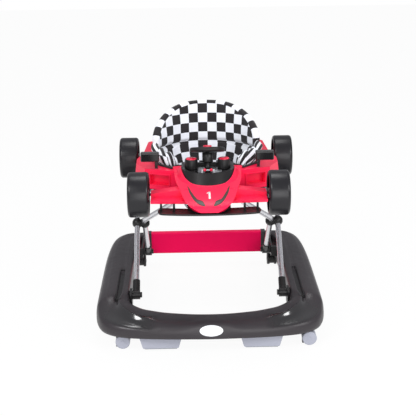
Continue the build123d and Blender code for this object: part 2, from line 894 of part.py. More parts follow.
with BuildPart() as cowl_solid:
    with BuildSketch(Plane.XY.offset(cowl_bottom)):
        with BuildLine():
            add(cowl_outline(cowl_front_y))
        make_face()
    with BuildSketch(Plane.XY.offset(cowl_top)):
        with BuildLine():
            add(cowl_outline(cowl_front_y + cowl_front_slope))
        make_face()
    loft()

# Car body with nose, side pods, tail and front suspension
pod_edge = Vector(pod_front_x - pod_inner_x, pod_front_y - pod_inner_y, 0)
intake_z = (tray_floor + tray_top) / 2
with BuildPart() as car_body:
    with BuildSketch(Plane.XY.offset(tray_floor)) as tub_plan:
        with BuildLine():
            tub_outline()
        make_face()
        fillet(tub_plan.vertices().group_by(Axis.Y)[-1], tail_round)
    extrude(amount=tray_top - tray_floor, taper=pod_taper)
    add(nose_loft(0, 0))
    with BuildSketch(Plane.XY.offset(tray_floor)) as tub_hollow:
        with BuildLine():
            tub_outline()
        make_face()
        offset(amount=-tray_wall, mode=Mode.REPLACE)
    extrude(amount=tray_top - tray_wall - tray_floor, taper=pod_taper, mode=Mode.SUBTRACT)
    add(nose_loft(tray_wall, tray_wall), mode=Mode.SUBTRACT)
    with BuildSketch(Plane.XY.offset(tray_floor)) as skirt:
        with BuildLine():
            opening_outline()
        make_face()
        offset(amount=tray_wall, mode=Mode.REPLACE)
    extrude(amount=tray_top - tray_floor)
    for _, side in sides:
        edge = Vector(side * pod_edge.X, pod_edge.Y, 0).normalized()
        mid_x = side * (pod_inner_x + pod_front_x) / 2
        mid_y = (pod_inner_y + pod_front_y) / 2
        intake = Plane(origin=(mid_x, mid_y, intake_z), x_dir=edge, z_dir=edge.cross(Vector(0, 0, side)))
        intake_width = pod_edge.length - 4 * intake_margin
        with BuildSketch(intake):
            Rectangle(intake_width + 2 * tray_wall, intake_height + 2 * tray_wall)
        extrude(amount=-intake_depth - tray_wall)
        with BuildSketch(intake):
            Rectangle(intake_width, intake_height)
        extrude(amount=intake_depth, both=True, mode=Mode.SUBTRACT)
        with BuildSketch(Plane.XY.offset(wishbone_z)):
            with BuildLine():
                Polyline(
                    (side * nose_tip_half, wishbone_front_y),
                    (side * wishbone_half_span, wishbone_front_y + wishbone_thickness),
                    (side * wishbone_half_span, wishbone_rear_y),
                    (side * nose_tip_half, wishbone_rear_y),
                    close=True,
                )
            make_face()
        extrude(amount=wishbone_thickness)
        with BuildSketch(across(side * nose_root_half / 2, front_wheel_y, wishbone_z)):
            with Locations((0, arm_root_height / 2)):
                Rectangle(arm_depth, arm_root_height)
        with BuildSketch(across(side * wishbone_half_span, front_wheel_y, wishbone_z)):
            with Locations((0, arm_tip_height / 2)):
                Rectangle(arm_depth, arm_tip_height)
        loft()
        rear_boss = across(side * (tail_corner_x - rear_arm_width), rear_wheel_y, toy_wheel_z)
        boss_reach = rear_wheel_x - toy_wheel_width / 2 - axle_cap_length - tail_corner_x + rear_arm_width
        add(rod(rear_boss, rear_arm_height / 2, side * boss_reach))
    with BuildSketch(Plane.XY.offset(tray_floor)):
        with BuildLine():
            opening_outline()
        make_face()
    extrude(amount=far, mode=Mode.SUBTRACT)
    add(cowl_solid.part, mode=Mode.SUBTRACT)
    for wheel_y in (front_wheel_y, rear_wheel_y):
        add(rod(across(-far / 2, wheel_y, toy_wheel_z), toy_axle_radius, far), mode=Mode.SUBTRACT)
save(car_body, "car_body")

# Underpan that closes the tray from below and carries the hinges and rails
door_width = battery_box_width - 2 * door_margin
door_depth = battery_box_depth - 2 * door_margin
with BuildPart() as tray_underpan:
    with BuildSketch(Plane.XY.offset(underpan_z)):
        with BuildLine():
            tub_outline()
        make_face()
        offset(amount=-tray_wall, mode=Mode.REPLACE)
        hinge_edge = rear_leg_top_x + hinge_half + hinge_plate + tray_wall
        with BuildLine():
            Polyline(
                (nose_tip_half - tray_wall, nose_tip_y + nose_flare),
                (nose_tip_half + nose_flare, wishbone_front_y),
                (nose_tip_half + nose_flare, wishbone_rear_y),
                (hinge_edge, wishbone_rear_y),
                (hinge_edge, 0),
                (-hinge_edge, 0),
                (-hinge_edge, wishbone_rear_y),
                (-nose_tip_half - nose_flare, wishbone_rear_y),
                (-nose_tip_half - nose_flare, wishbone_front_y),
                (tray_wall - nose_tip_half, nose_tip_y + nose_flare),
                close=True,
            )
        make_face()
        with BuildLine():
            opening_outline()
        make_face(mode=Mode.SUBTRACT)
        with Locations((0, battery_y)):
            Rectangle(door_width, door_depth, mode=Mode.SUBTRACT)
    extrude(amount=underpan_thickness)
save(tray_underpan, "tray_underpan")

# Battery compartment behind a door in the underpan
with BuildPart() as battery_box:
    with BuildSketch(Plane.XY.offset(tray_floor)):
        with Locations((0, battery_y)):
            Rectangle(battery_box_width, battery_box_depth)
    extrude(amount=battery_box_height)
    with BuildSketch(Plane.XY.offset(tray_floor + battery_wall)):
        with Locations((0, battery_y)):
            Rectangle(battery_box_width - 2 * battery_wall, battery_box_depth - 2 * battery_wall)
    extrude(amount=battery_box_height - 2 * battery_wall, mode=Mode.SUBTRACT)
save(battery_box, "battery_box")

with BuildPart() as battery_cells:
    for offset_y in (-cell_radius - side_gap, cell_radius + side_gap):
        cell_z = tray_floor + battery_wall + cell_radius
        add(rod(across(-cell_length / 2, battery_y + offset_y, cell_z), cell_radius, cell_length))
save(battery_cells, "battery_cells")

with BuildPart() as battery_door:
    with BuildSketch(Plane.XY.offset(underpan_z)):
        with Locations((0, battery_y)):
            Rectangle(door_width - side_gap, door_depth - side_gap)
    extrude(amount=underpan_thickness)
save(battery_door, "battery_door")

# Front wing on its posts
with BuildPart() as front_wing:
    with BuildSketch(Plane.XY.offset(wing_z)):
        with Locations((0, wing_front_y + wing_depth / 2)):
            RectangleRounded(2 * wing_half_span, wing_depth, wing_thickness)
    extrude(amount=wing_thickness)
    with BuildSketch(Plane.XY.offset(wing_z + wing_thickness)):
        post_y = wing_front_y + wing_depth - wing_post_setback / 2
        for post_x in wing_post_xs:
            with Locations((post_x, post_y), (-post_x, post_y)):
                Rectangle(wing_post, wing_post_setback)
    extrude(amount=wishbone_z - wing_z - wing_thickness)
save(front_wing, "front_wing")

# Toy wheels and their axles
toy_wheels = [
    ("front_left", front_wheel_x, front_wheel_y, 1),
    ("front_right", -front_wheel_x, front_wheel_y, -1),
    ("rear_left", rear_wheel_x, rear_wheel_y, 1),
    ("rear_right", -rear_wheel_x, rear_wheel_y, -1),
]
half_tread = toy_wheel_width / 2
for name, wheel_x, wheel_y, side in toy_wheels:
    wheel_plane = Plane(origin=(wheel_x, wheel_y, toy_wheel_z), x_dir=(side, 0, 0), z_dir=(0, 0, side))
    spin_axis = Axis((wheel_x, wheel_y, toy_wheel_z), (1, 0, 0))
    inner_tread = toy_wheel_radius - toy_wheel_wall
    with BuildPart() as toy_wheel:
        with BuildSketch(wheel_plane) as tread:
            with BuildLine():
                Polyline(
                    (-half_tread, toy_axle_radius + run_gap),
                    (half_tread - toy_rim_depth, toy_axle_radius + run_gap),
                    (half_tread - toy_rim_depth, toy_rim_radius),
                    (half_tread, toy_rim_radius),
                    (half_tread, toy_wheel_radius),
                    (-half_tread, toy_wheel_radius),
                    (-half_tread, toy_mouth_radius),
                    (toy_wheel_wall - half_tread, toy_mouth_radius),
                    (toy_wheel_wall - half_tread, inner_tread),
                    (half_tread - toy_rim_depth - toy_wheel_wall, inner_tread),
                    (half_tread - toy_rim_depth - toy_wheel_wall, toy_hub_radius),
                    (-half_tread, toy_hub_radius),
                    close=True,
                )
            make_face()
            fillet(tread.vertices().group_by(Axis.Y)[-1], toy_wheel_edge)
        revolve(axis=spin_axis)
    save(toy_wheel, f"toy_wheel_{name}")

with BuildPart() as wheel_axles:
    for _, wheel_x, wheel_y, side in toy_wheels:
        start_x = nose_root_half if wheel_y < 0 else tail_corner_x - rear_arm_width
        rim_x = abs(wheel_x) + half_tread - toy_rim_depth + side_gap
        start = across(side * start_x, wheel_y, toy_wheel_z)
        add(rod(start, toy_axle_radius, side * (rim_x - start_x)))
        add(rod(across(side * rim_x, wheel_y, toy_wheel_z), axle_cap_radius, side * axle_cap_length))
save(wheel_axles, "wheel_axles")

# Mirrors on stalks
with BuildPart() as mirrors:
    with Locations((mirror_x, mirror_y, mirror_z)):
        Box(mirror_width, mirror_depth, mirror_height)
    fillet(mirrors.edges(), mirror_round)
    with BuildSketch(Plane.XY.offset(tray_top)):
        with Locations((stalk_x, mirror_y)):
            Rectangle(stalk_width, stalk_width)
    extrude(amount=mirror_z - tray_top)
    mirror(about=Plane.YZ)
save(mirrors, "mirrors")

# Console: cowl, dash panel, speaker and grille
dash_top = cowl_top - dash_depth
with BuildPart() as console_cowl:
    add(cowl_solid.part)
    with BuildSketch(Plane.XY.offset(cowl_bottom)):
        with BuildLine():
            add(cowl_outline(cowl_front_y + cowl_front_slope))
        make_face()
        offset(amount=-dash_margin, mode=Mode.REPLACE)
    extrude(amount=cowl_top, mode=Mode.SUBTRACT)
save(console_cowl, "console_cowl")

rake = radians(steer_rake)
steer_axis = Vector(0, sin(rake), cos(rake))
column_foot = Vector(0, steer_y, dash_top)
with BuildPart() as dash_panel:
    with BuildSketch(Plane.XY.offset(dash_top - dash_thickness)):
        with BuildLine():
            add(cowl_outline(cowl_front_y + cowl_front_slope))
        make_face()
        offset(amount=-dash_margin - tongue_gap, mode=Mode.REPLACE)
        with Locations((knob_x, knob_y), (-knob_x, knob_y)):
            Circle(knob_spigot_radius + run_gap, mode=Mode.SUBTRACT)
    extrude(amount=dash_thickness)
save(dash_panel, "dash_panel")

with BuildPart() as speaker:
    with BuildSketch(Plane.XY.offset(dash_top - dash_thickness)):
        with Locations((grille_x, grille_y)):
            Circle(speaker_radius)
    extrude(amount=-speaker_height)
save(speaker, "speaker")

with BuildPart() as sound_grille:
    with BuildSketch(Plane.XY.offset(dash_top)):
        with Locations((grille_x, grille_y)):
            RectangleRounded(grille_width, grille_depth, grille_thickness)
    extrude(amount=grille_thickness)
save(sound_grille, "sound_grille")

# Knobs with lobed caps
for name, side in sides:
    knob_top = dash_top + side_gap + knob_height
    with BuildPart() as knob:
        with BuildSketch(Plane.XY.offset(dash_top - dash_thickness - side_gap)):
            with Locations((side * knob_x, knob_y)):
                Circle(knob_spigot_radius)
        extrude(amount=dash_thickness + 2 * side_gap)
        with BuildSketch(Plane.XY.offset(dash_top + side_gap)):
            with Locations((side * knob_x, knob_y)):
                Circle(knob_radius)
        extrude(amount=knob_height)
    save(knob, f"knob_{name}")
    with BuildPart() as knob_cap:
        with BuildSketch(Plane.XY.offset(knob_top)):
            with Locations((side * knob_x, knob_y)):
                Circle(knob_radius - knob_lobe_radius)
                with PolarLocations(knob_radius - knob_lobe_radius, knob_lobes):
                    Circle(knob_lobe_radius)
        extrude(amount=knob_cap_height)
        fillet(knob_cap.faces().sort_by(Axis.Z)[-1].edges(), knob_lobe_radius / 4)
    save(knob_cap, f"knob_cap_{name}")

# Steering column, wheel and horn button
column_top = column_foot + steer_axis * steer_rise
with BuildPart() as steering_column:
    add(rod(facing(column_foot - steer_axis * column_radius, steer_axis), column_radius, steer_rise + column_radius))
    split(bisect_by=Plane.XY.offset(dash_top), keep=Keep.TOP)
    pin_well = column_top - steer_axis * (column_pin_length + side_gap)
    add(rod(facing(pin_well, steer_axis), column_pin_radius + run_gap, far), mode=Mode.SUBTRACT)
save(steering_column, "steering_column")

rim_low = column_top + steer_axis * side_gap
rim_plane = Plane(origin=rim_low, x_dir=(1, 0, 0), z_dir=steer_axis)
rim_depth = 2 * rim_tube
with BuildPart() as steering_wheel:
    with BuildSketch(rim_plane):
        Ellipse(rim_half_width, rim_half_depth)
        Ellipse(rim_half_width - rim_depth, rim_half_depth - rim_depth, mode=Mode.SUBTRACT)
    extrude(amount=rim_depth)
    fillet(steering_wheel.edges(), rim_round)
    with BuildSketch(rim_plane):
        Rectangle(2 * rim_half_width - rim_depth, spoke_width)
        Circle(hub_plate_radius)
    extrude(amount=spoke_thickness)
    with BuildSketch(rim_plane):
        Circle(hub_plate_radius)
    extrude(amount=rim_depth)
    with BuildSketch(rim_plane.offset(rim_depth)):
        Circle(horn_radius + side_gap)
    extrude(amount=horn_proud - horn_height - horn_travel, mode=Mode.SUBTRACT)
    add(rod(facing(rim_low - steer_axis * column_pin_length, steer_axis), column_pin_radius, column_pin_length))
save(steering_wheel, "steering_wheel")

with BuildPart() as horn_button:
    with BuildSketch(rim_plane.offset(rim_depth + horn_proud - horn_height)):
        Circle(horn_radius)
    extrude(amount=horn_height)
    fillet(horn_button.faces().sort_by(Axis.Z)[-1].edges(), horn_travel / 2)
save(horn_button, "horn_button")

# Spinning beads on a wire
bead_z = dash_top + bead_rise
wire_half = bead_spacing + bead_radius + 2 * bead_wire_radius
with BuildPart() as bead_wire:
    add(rod(across(-wire_half, bead_y, bead_z), bead_wire_radius, 2 * wire_half))
    with BuildSketch(Plane.XY.offset(dash_top)):
        with Locations((wire_half, bead_y), (-wire_half, bead_y)):
            Rectangle(2 * bead_wire_radius, 2 * bead_wire_radius)
    extrude(amount=bead_rise + bead_wire_radius)
save(bead_wire, "bead_wire")

for name, side in sides:
    bead_x = side * bead_spacing
    bead_bore = bead_wire_radius + run_gap
    bead_half = (bead_radius ** 2 - bead_bore ** 2) ** (1 / 2)
    with BuildPart() as bead:
        with BuildSketch(Plane(origin=(bead_x, bead_y, bead_z))):
            with BuildLine():
                ThreePointArc((-bead_half, bead_bore), (0, bead_radius), (bead_half, bead_bore))
                Line((bead_half, bead_bore), (-bead_half, bead_bore))
            make_face()
        revolve(axis=Axis((bead_x, bead_y, bead_z), (1, 0, 0)))
    save(bead, f"bead_{name}")

# Black piping around the seat opening
with BuildPart() as seat_piping:
    with BuildSketch(Plane.XY.offset(tray_top)):
        with BuildLine():
            opening_outline()
        make_face()
        offset(amount=piping_width / 2, mode=Mode.REPLACE)
        with BuildSketch(mode=Mode.PRIVATE) as piping_inner:
            with BuildLine():
                opening_outline()
            make_face()
            offset(amount=-piping_width / 2, mode=Mode.REPLACE)
        add(piping_inner.sketch, mode=Mode.SUBTRACT)
    extrude(amount=piping_height)
    add(car_body.part, mode=Mode.SUBTRACT)
    seat_piping.part = Part() + seat_piping.solids().sort_by(SortBy.VOLUME)[-1]
save(seat_piping, "seat_piping")


# Padded back of the seat
def back_section(z, half_width, side_y, rear_y, thickness):
    """Level crescent through the padded back: thick in the middle, thinner at its ends."""
    inner_half = half_width - back_end_thickness
    with BuildSketch(Plane.XY.offset(z)) as section:
        with BuildLine():
            ThreePointArc((half_width, side_y), (0, rear_y), (-half_width, side_y))
            Line((-half_width, side_y), (-inner_half, side_y))
            ThreePointArc((-inner_half, side_y), (0, rear_y - thickness), (inner_half, side_y))
            Line((inner_half, side_y), (half_width, side_y))
        make_face()
    return section.sketch


back_height = back_top - tray_top
back_rear_y = opening_rear_y + back_clear + back_thickness
with BuildPart() as seat_back:
    for rise, width, draw, fullness in back_levels:
        rear_y = back_rear_y + back_lean * rise
        side_y = opening_side_y + draw * (rear_y - back_thickness - opening_side_y)
        level_z = tray_top + rise * back_height
        add(back_section(level_z, width * back_half_width, side_y, rear_y, fullness * back_thickness))
    loft(ruled=True)
save(seat_back, "seat_back")


# Fabric bucket that hangs in the opening, bunched at its front corners
def sling_section(z, half_width, front_y, corner_y, flat_x, side_y, rear_y):
    """One level outline of the hanging bucket."""
    with BuildSketch(Plane.XY.offset(z)) as section:
        with BuildLine():
            Polyline(
                (-half_width, side_y),
                (-half_width, corner_y),
                (-flat_x, front_y),
                (flat_x, front_y),
                (half_width, corner_y),
                (half_width, side_y),
            )
            ThreePointArc((half_width, side_y), (0, rear_y), (-half_width, side_y))
        make_face()
    return section.sketch


def sling_form(inset, top_z, bottom_z):
    """Bucket as a solid from the opening down. A positive inset gives the space inside."""
    edge = inset + seat_gap
    levels = (
        (
            top_z,
            opening_half_width - edge,
            opening_front_y + edge,
            opening_corner_y + edge,
            opening_flat_x - edge,
            opening_side_y - edge,
            opening_rear_y - edge,
        ),
        (
            sling_waist,
            sling_waist_half_width - inset,
            sling_mid_y - sling_waist_half_depth + inset,
            sling_mid_y - sling_waist_half_depth / 2 + inset,
            sling_waist_half_width / 2 - inset,
            sling_mid_y,
            sling_mid_y + sling_waist_half_depth - inset,
        ),
        (
            bottom_z,
            sling_low_half_width - inset,
            sling_mid_y - sling_low_half_depth + inset,
            sling_mid_y - sling_low_half_depth / 2 + inset,
            sling_low_half_width / 2 - inset,
            sling_mid_y,
            sling_mid_y + sling_low_half_depth - inset,
        ),
    )
    with BuildPart() as form:
        for level in levels:
            add(sling_section(*level))
        loft()
    return form.part


with BuildPart() as seat_sling:
    add(sling_form(0, tray_top, sling_bottom))
    add(sling_form(sling_cloth, tray_top + side_gap, sling_bottom + sling_cloth), mode=Mode.SUBTRACT)
    for _, side in sides:
        hole_start = facing((side * leg_hole_x, sling_mid_y, leg_hole_z), (0, -1, 0))
        add(rod(hole_start, leg_hole_radius, far / 2), mode=Mode.SUBTRACT)
    for start, middle, end, radius in cloth_rolls:
        with BuildLine() as roll:
            ThreePointArc(start, middle, end)
        with BuildSketch(facing(roll.line @ 0, roll.line % 0)):
            Circle(radius)
        sweep(path=roll.line)
    mirror(about=Plane.YZ)
    add(seat_piping.part, mode=Mode.SUBTRACT)
    add(car_body.part, mode=Mode.SUBTRACT)
    add(seat_back.part, mode=Mode.SUBTRACT)
save(seat_sling, "seat_sling")


# Screw heads under the bumper
with BuildPart() as base_screws:
    with BuildSketch(Plane.XY.offset(base_bottom)):
        for _, side in sides:
            for screw_x in (pad_inner_x - 2 * screw_radius, pad_outer_x + 2 * screw_radius):
                with Locations((side * screw_x, pad_front_y + pad_depth / 2)):
                    Circle(screw_radius)
    extrude(amount=-screw_length)
save(base_screws, "base_screws")
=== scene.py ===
# %% [markdown]
# # A racing-car baby walker, dressed in Blender
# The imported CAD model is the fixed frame: every rigid piece is already in its place. This lesson
# adds what CAD is poor at: the smooth moulded base, the sewn seat, the decals, the finishes, the light.

# %% Load the frame
import bmesh
import bpy
from math import cos, exp, pi, radians, sin, sqrt
from mathutils import Matrix, Quaternion, Vector
from mathutils.bvhtree import BVHTree


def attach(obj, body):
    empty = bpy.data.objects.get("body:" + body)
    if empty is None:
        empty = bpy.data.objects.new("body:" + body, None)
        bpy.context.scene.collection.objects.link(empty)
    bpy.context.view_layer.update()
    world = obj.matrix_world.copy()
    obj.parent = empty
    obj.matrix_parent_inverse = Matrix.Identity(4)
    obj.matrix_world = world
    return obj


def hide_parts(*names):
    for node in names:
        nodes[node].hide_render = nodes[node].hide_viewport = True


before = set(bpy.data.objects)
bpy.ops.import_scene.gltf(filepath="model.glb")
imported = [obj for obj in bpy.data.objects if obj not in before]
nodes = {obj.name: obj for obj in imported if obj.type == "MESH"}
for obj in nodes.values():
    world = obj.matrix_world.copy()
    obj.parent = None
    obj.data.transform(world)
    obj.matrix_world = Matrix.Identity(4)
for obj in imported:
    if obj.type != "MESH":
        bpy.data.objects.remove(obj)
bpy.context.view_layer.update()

# %% [markdown]
# ## Small helpers
# A finished piece needs the same few steps each time: normals that point outwards, a mesh, a
# material, a body to ride on. One helper keeps those steps in one place. A second helper makes a
# node and sets its sockets, because shader trees are long and dull to write by hand.

# %% Helpers for meshes and nodes
def piece(name, bm, body, material, stands_for=(), outward=True):
    """Turn a bmesh into a finished piece that rides on a CAD body."""
    if outward:
        bmesh.ops.recalc_face_normals(bm, faces=bm.faces)
    mesh = bpy.data.meshes.new(name)
    bm.to_mesh(mesh)
    bm.free()
    mesh.materials.append(material)
    mesh.shade_smooth()
    obj = bpy.data.objects.new(name, mesh)
    bpy.context.scene.collection.objects.link(obj)
    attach(obj, body)
    if stands_for:
        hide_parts(*stands_for)
    print(name, "faces", len(mesh.polygons))
    return obj


def node(tree, kind, sockets=None, **settings):
    """Add a shader node, set its settings, then its input sockets by name."""
    made = tree.nodes.new(kind)
    for key, value in settings.items():
        setattr(made, key, value)
    for key, value in (sockets or {}).items():
        made.inputs[key].default_value = value
    return made


def grid(bm, columns, rows, place, flat=None):
    """Operator grid whose points move to place(u, v), u and v from 0 to 1. flat(u, v) is the cloth map."""
    layer = (bm.loops.layers.uv.get("cloth") or bm.loops.layers.uv.new("cloth")) if flat else None
    made = bmesh.ops.create_grid(bm, x_segments=columns, y_segments=rows, size=0.5)["verts"]
    home = {vert: (vert.co.x + 0.5, vert.co.y + 0.5) for vert in made}
    if flat:
        for vert in made:
            for loop in vert.link_loops:
                loop[layer].uv = flat(*home[vert])
    for vert in made:
        vert.co = place(*home[vert])
    return made


def smooth_step(low, high, x):
    """0 below low, 1 above high, and a soft ramp between."""
    t = min(max((x - low) / (high - low), 0.0), 1.0)
    return t * t * (3 - 2 * t)


# %% [markdown]
# ## Shared effects
# Moulded plastic is never one flat colour. It has a fine spark-eroded grain and slow changes of
# tone where the melt cooled. Both are built once as a node group and used by every plastic here.

# %% Group: moulded grain
def make_grain_group():
    """Fine grain height, slow tone and a slow gloss change from object coordinates."""
    tree = bpy.data.node_groups.new("moulded_grain", "ShaderNodeTree")
    face = tree.interface
    face.new_socket("Vector", in_out="INPUT", socket_type="NodeSocketVector")
    face.new_socket("Grain Scale", in_out="INPUT", socket_type="NodeSocketFloat")
    face.new_socket("Tone Scale", in_out="INPUT", socket_type="NodeSocketFloat")
    face.new_socket("Height", in_out="OUTPUT", socket_type="NodeSocketFloat")
    face.new_socket("Tone", in_out="OUTPUT", socket_type="NodeSocketFloat")
    face.new_socket("Scuff", in_out="OUTPUT", socket_type="NodeSocketFloat")
    into = tree.nodes.new("NodeGroupInput")
    out = tree.nodes.new("NodeGroupOutput")
    fine = node(tree, "ShaderNodeTexNoise", {"Detail": 2.0, "Roughness": 0.6})
    slow = node(tree, "ShaderNodeTexNoise", {"Detail": 3.0, "Roughness": 0.5})
    marks = node(tree, "ShaderNodeTexNoise", {"Scale": 60.0, "Detail": 5.0, "Roughness": 0.7})
    for noise in (fine, slow, marks):
        tree.links.new(into.outputs["Vector"], noise.inputs["Vector"])
    tree.links.new(into.outputs["Grain Scale"], fine.inputs["Scale"])
    tree.links.new(into.outputs["Tone Scale"], slow.inputs["Scale"])
    tree.links.new(fine.outputs["Fac"], out.inputs["Height"])
    tree.links.new(slow.outputs["Fac"], out.inputs["Tone"])
    tree.links.new(marks.outputs["Fac"], out.inputs["Scuff"])
    return tree


grain_group = make_grain_group()
print("group:", grain_group.name)


# %% [markdown]
# ## Plastics
# The walker is almost all plastic: satin black, glossy black, grey and red. They differ in colour,
# gloss and grain, so one function makes them all from those values.

# %% Plastic materials
def ramp_values(tree, source, low, high):
    """Map a 0..1 value to low..high."""
    limits = {"From Min": 0.3, "From Max": 0.7, "To Min": low, "To Max": high}
    mapped = node(tree, "ShaderNodeMapRange", limits)
    tree.links.new(source, mapped.inputs["Value"])
    return mapped.outputs["Result"]


def plastic(name, colour, spread=0.12, rough=(0.35, 0.45), grain=900.0, depth=0.08, coat=0.0, tone=9.0,
            shine=0.5, polish_and_shade=None):
    """Moulded plastic: colour that wanders by spread, gloss from rough[0] to rough[1].

    The mesh attribute named by the last argument makes the surface glossy and coated where it is 1. It also
    darkens the colour there as painted shade for a recess."""
    made = bpy.data.materials.new(name)
    made.use_nodes = True
    tree = made.node_tree
    shader = tree.nodes["Principled BSDF"]
    coords = node(tree, "ShaderNodeTexCoord")
    skin = node(tree, "ShaderNodeGroup", node_tree=grain_group)
    skin.inputs["Grain Scale"].default_value = grain
    skin.inputs["Tone Scale"].default_value = tone
    tree.links.new(coords.outputs["Object"], skin.inputs["Vector"])
    mix = node(tree, "ShaderNodeMix", data_type="RGBA")
    mix.inputs["A"].default_value = (*[c * (1 - spread) for c in colour], 1)
    mix.inputs["B"].default_value = (*[min(1, c * (1 + spread)) for c in colour], 1)
    tree.links.new(skin.outputs["Tone"], mix.inputs["Factor"])
    paint = mix.outputs["Result"]
    gloss = ramp_values(tree, skin.outputs["Scuff"], *rough)
    if polish_and_shade:
        mask = node(tree, "ShaderNodeAttribute", attribute_name=polish_and_shade)
        # Painted shade: where the mask is 1 the colour drops to 0.15 of itself, for the shade in a recess.
        painted_shade = node(tree, "ShaderNodeMix", data_type="RGBA")
        painted_shade.inputs["B"].default_value = (*[c * 0.15 for c in colour], 1)
        tree.links.new(mask.outputs["Fac"], painted_shade.inputs["Factor"])
        tree.links.new(paint, painted_shade.inputs["A"])
        paint = painted_shade.outputs["Result"]
        smooth = node(tree, "ShaderNodeMix", {"B": 0.17}, data_type="FLOAT")
        tree.links.new(mask.outputs["Fac"], smooth.inputs["Factor"])
        tree.links.new(gloss, smooth.inputs["A"])
        gloss = smooth.outputs["Result"]
        tree.links.new(mask.outputs["Fac"], shader.inputs["Coat Weight"])
        shader.inputs["Coat IOR"].default_value = 1.8
    tree.links.new(paint, shader.inputs["Base Color"])
    tree.links.new(gloss, shader.inputs["Roughness"])
    shader.inputs["Specular IOR Level"].default_value = shine
    bump = node(tree, "ShaderNodeBump", {"Strength": depth, "Distance": 0.0006})
    tree.links.new(skin.outputs["Height"], bump.inputs["Height"])
    tree.links.new(bump.outputs["Normal"], shader.inputs["Normal"])
    shader.inputs["Coat Weight"].default_value = coat
    shader.inputs["Coat Roughness"].default_value = 0.12
    return made


base_black = plastic("base_black", (0.033, 0.028, 0.032), 0.16, (0.36, 0.46), 700, 0.06, shine=0.35)
# The ring's scoop mask adds gloss and a coat, and it darkens the colour there as painted shade.
ring_black = plastic(
    "ring_black", (0.033, 0.028, 0.032), 0.16, (0.34, 0.44), 700, 0.06, shine=0.4, polish_and_shade="polish_and_shade")
satin_black = plastic("satin_black", (0.012, 0.0115, 0.012), 0.2, (0.30, 0.42), 900, 0.05, shine=0.35)
gloss_black = plastic("gloss_black", (0.010, 0.010, 0.011), 0.2, (0.12, 0.2), 900, 0.02, 0.2)
wheel_black = plastic("wheel_black", (0.010, 0.0095, 0.012), 0.2, (0.28, 0.36), 800, 0.004, 0.05, shine=0.4)
decal_olive = plastic("decal_olive", (0.045, 0.036, 0.028), 0.15, (0.3, 0.4), 900, 0.02)
number_white = plastic("number_white", (0.80, 0.80, 0.78), 0.08, (0.25, 0.35), 900, 0.02)
body_red = plastic("body_red", (0.90, 0.010, 0.066), 0.04, (0.30, 0.38), 600, 0.04, 0.0, 5.0, shine=0.3)
bar_red = plastic("bar_red", (0.86, 0.0, 0.085), 0.06, (0.34, 0.42), 600, 0.04, 0.0, 7.0, shine=0.12)
trim_red = plastic("trim_red", (0.80, 0.012, 0.055), 0.08, (0.2, 0.3), 900, 0.04, 0.3)
pad_grey = plastic("pad_grey", (0.36, 0.37, 0.435), 0.06, (0.36, 0.46), 800, 0.06)
badge_white = plastic("badge_white", (0.84, 0.85, 0.87), 0.03, (0.12, 0.18), 900, 0.02, 0.5)
clear_post = plastic("clear_post", (0.70, 0.73, 0.78), 0.06, (0.1, 0.16), 900, 0.02, 0.5)
grip_rubber = plastic("grip_rubber", (0.045, 0.07, 0.075), 0.25, (0.6, 0.75), 1200, 0.3)
print("plastics:", len([m for m in bpy.data.materials if m.use_nodes]))


# %% [markdown]
# ## Metal
# The legs are drawn steel tube with a silver finish: the drawing leaves fine marks along the tube,
# so the noise is squeezed in the direction of the legs' rise.

# %% Metal materials
def drawn_metal(name, colour, rough, stretch):
    """Bright metal with fine marks. stretch is the noise scale along x, y and z."""
    made = bpy.data.materials.new(name)
    made.use_nodes = True
    tree = made.node_tree
    shader = tree.nodes["Principled BSDF"]
    coords = node(tree, "ShaderNodeTexCoord")
    squeeze = node(tree, "ShaderNodeMapping", {"Scale": stretch})
    marks = node(tree, "ShaderNodeTexNoise", {"Scale": 30.0, "Detail": 4.0})
    tree.links.new(coords.outputs["Object"], squeeze.inputs["Vector"])
    tree.links.new(squeeze.outputs["Vector"], marks.inputs["Vector"])
    mix = node(tree, "ShaderNodeMix", data_type="RGBA")
    mix.inputs["A"].default_value = (*[c * 0.9 for c in colour], 1)
    mix.inputs["B"].default_value = (*colour, 1)
    tree.links.new(marks.outputs["Fac"], mix.inputs["Factor"])
    tree.links.new(mix.outputs["Result"], shader.inputs["Base Color"])
    tree.links.new(ramp_values(tree, marks.outputs["Fac"], *rough), shader.inputs["Roughness"])
    bump = node(tree, "ShaderNodeBump", {"Strength": 0.05, "Distance": 0.0003})
    tree.links.new(marks.outputs["Fac"], bump.inputs["Height"])
    tree.links.new(bump.outputs["Normal"], shader.inputs["Normal"])
    shader.inputs["Metallic"].default_value = 0.9
    return made


tube_silver = drawn_metal("tube_silver", (0.74, 0.74, 0.77), (0.24, 0.36), (30.0, 3.0, 3.0))
pin_steel = drawn_metal("pin_steel", (0.70, 0.71, 0.74), (0.2, 0.3), (20.0, 20.0, 20.0))
grille_silver = drawn_metal("grille_silver", (0.78, 0.80, 0.85), (0.3, 0.4), (10.0, 60.0, 10.0))
print("metals: 3")

# %% [markdown]
# ## Cloth
# The seat is sewn from printed black and white squares. The print follows the cloth, so it reads a
# UV map measured in squares. A weave of two crossing thread waves gives the bump. The group is
# shared by the padded back, the hanging bucket and the bunched corners.

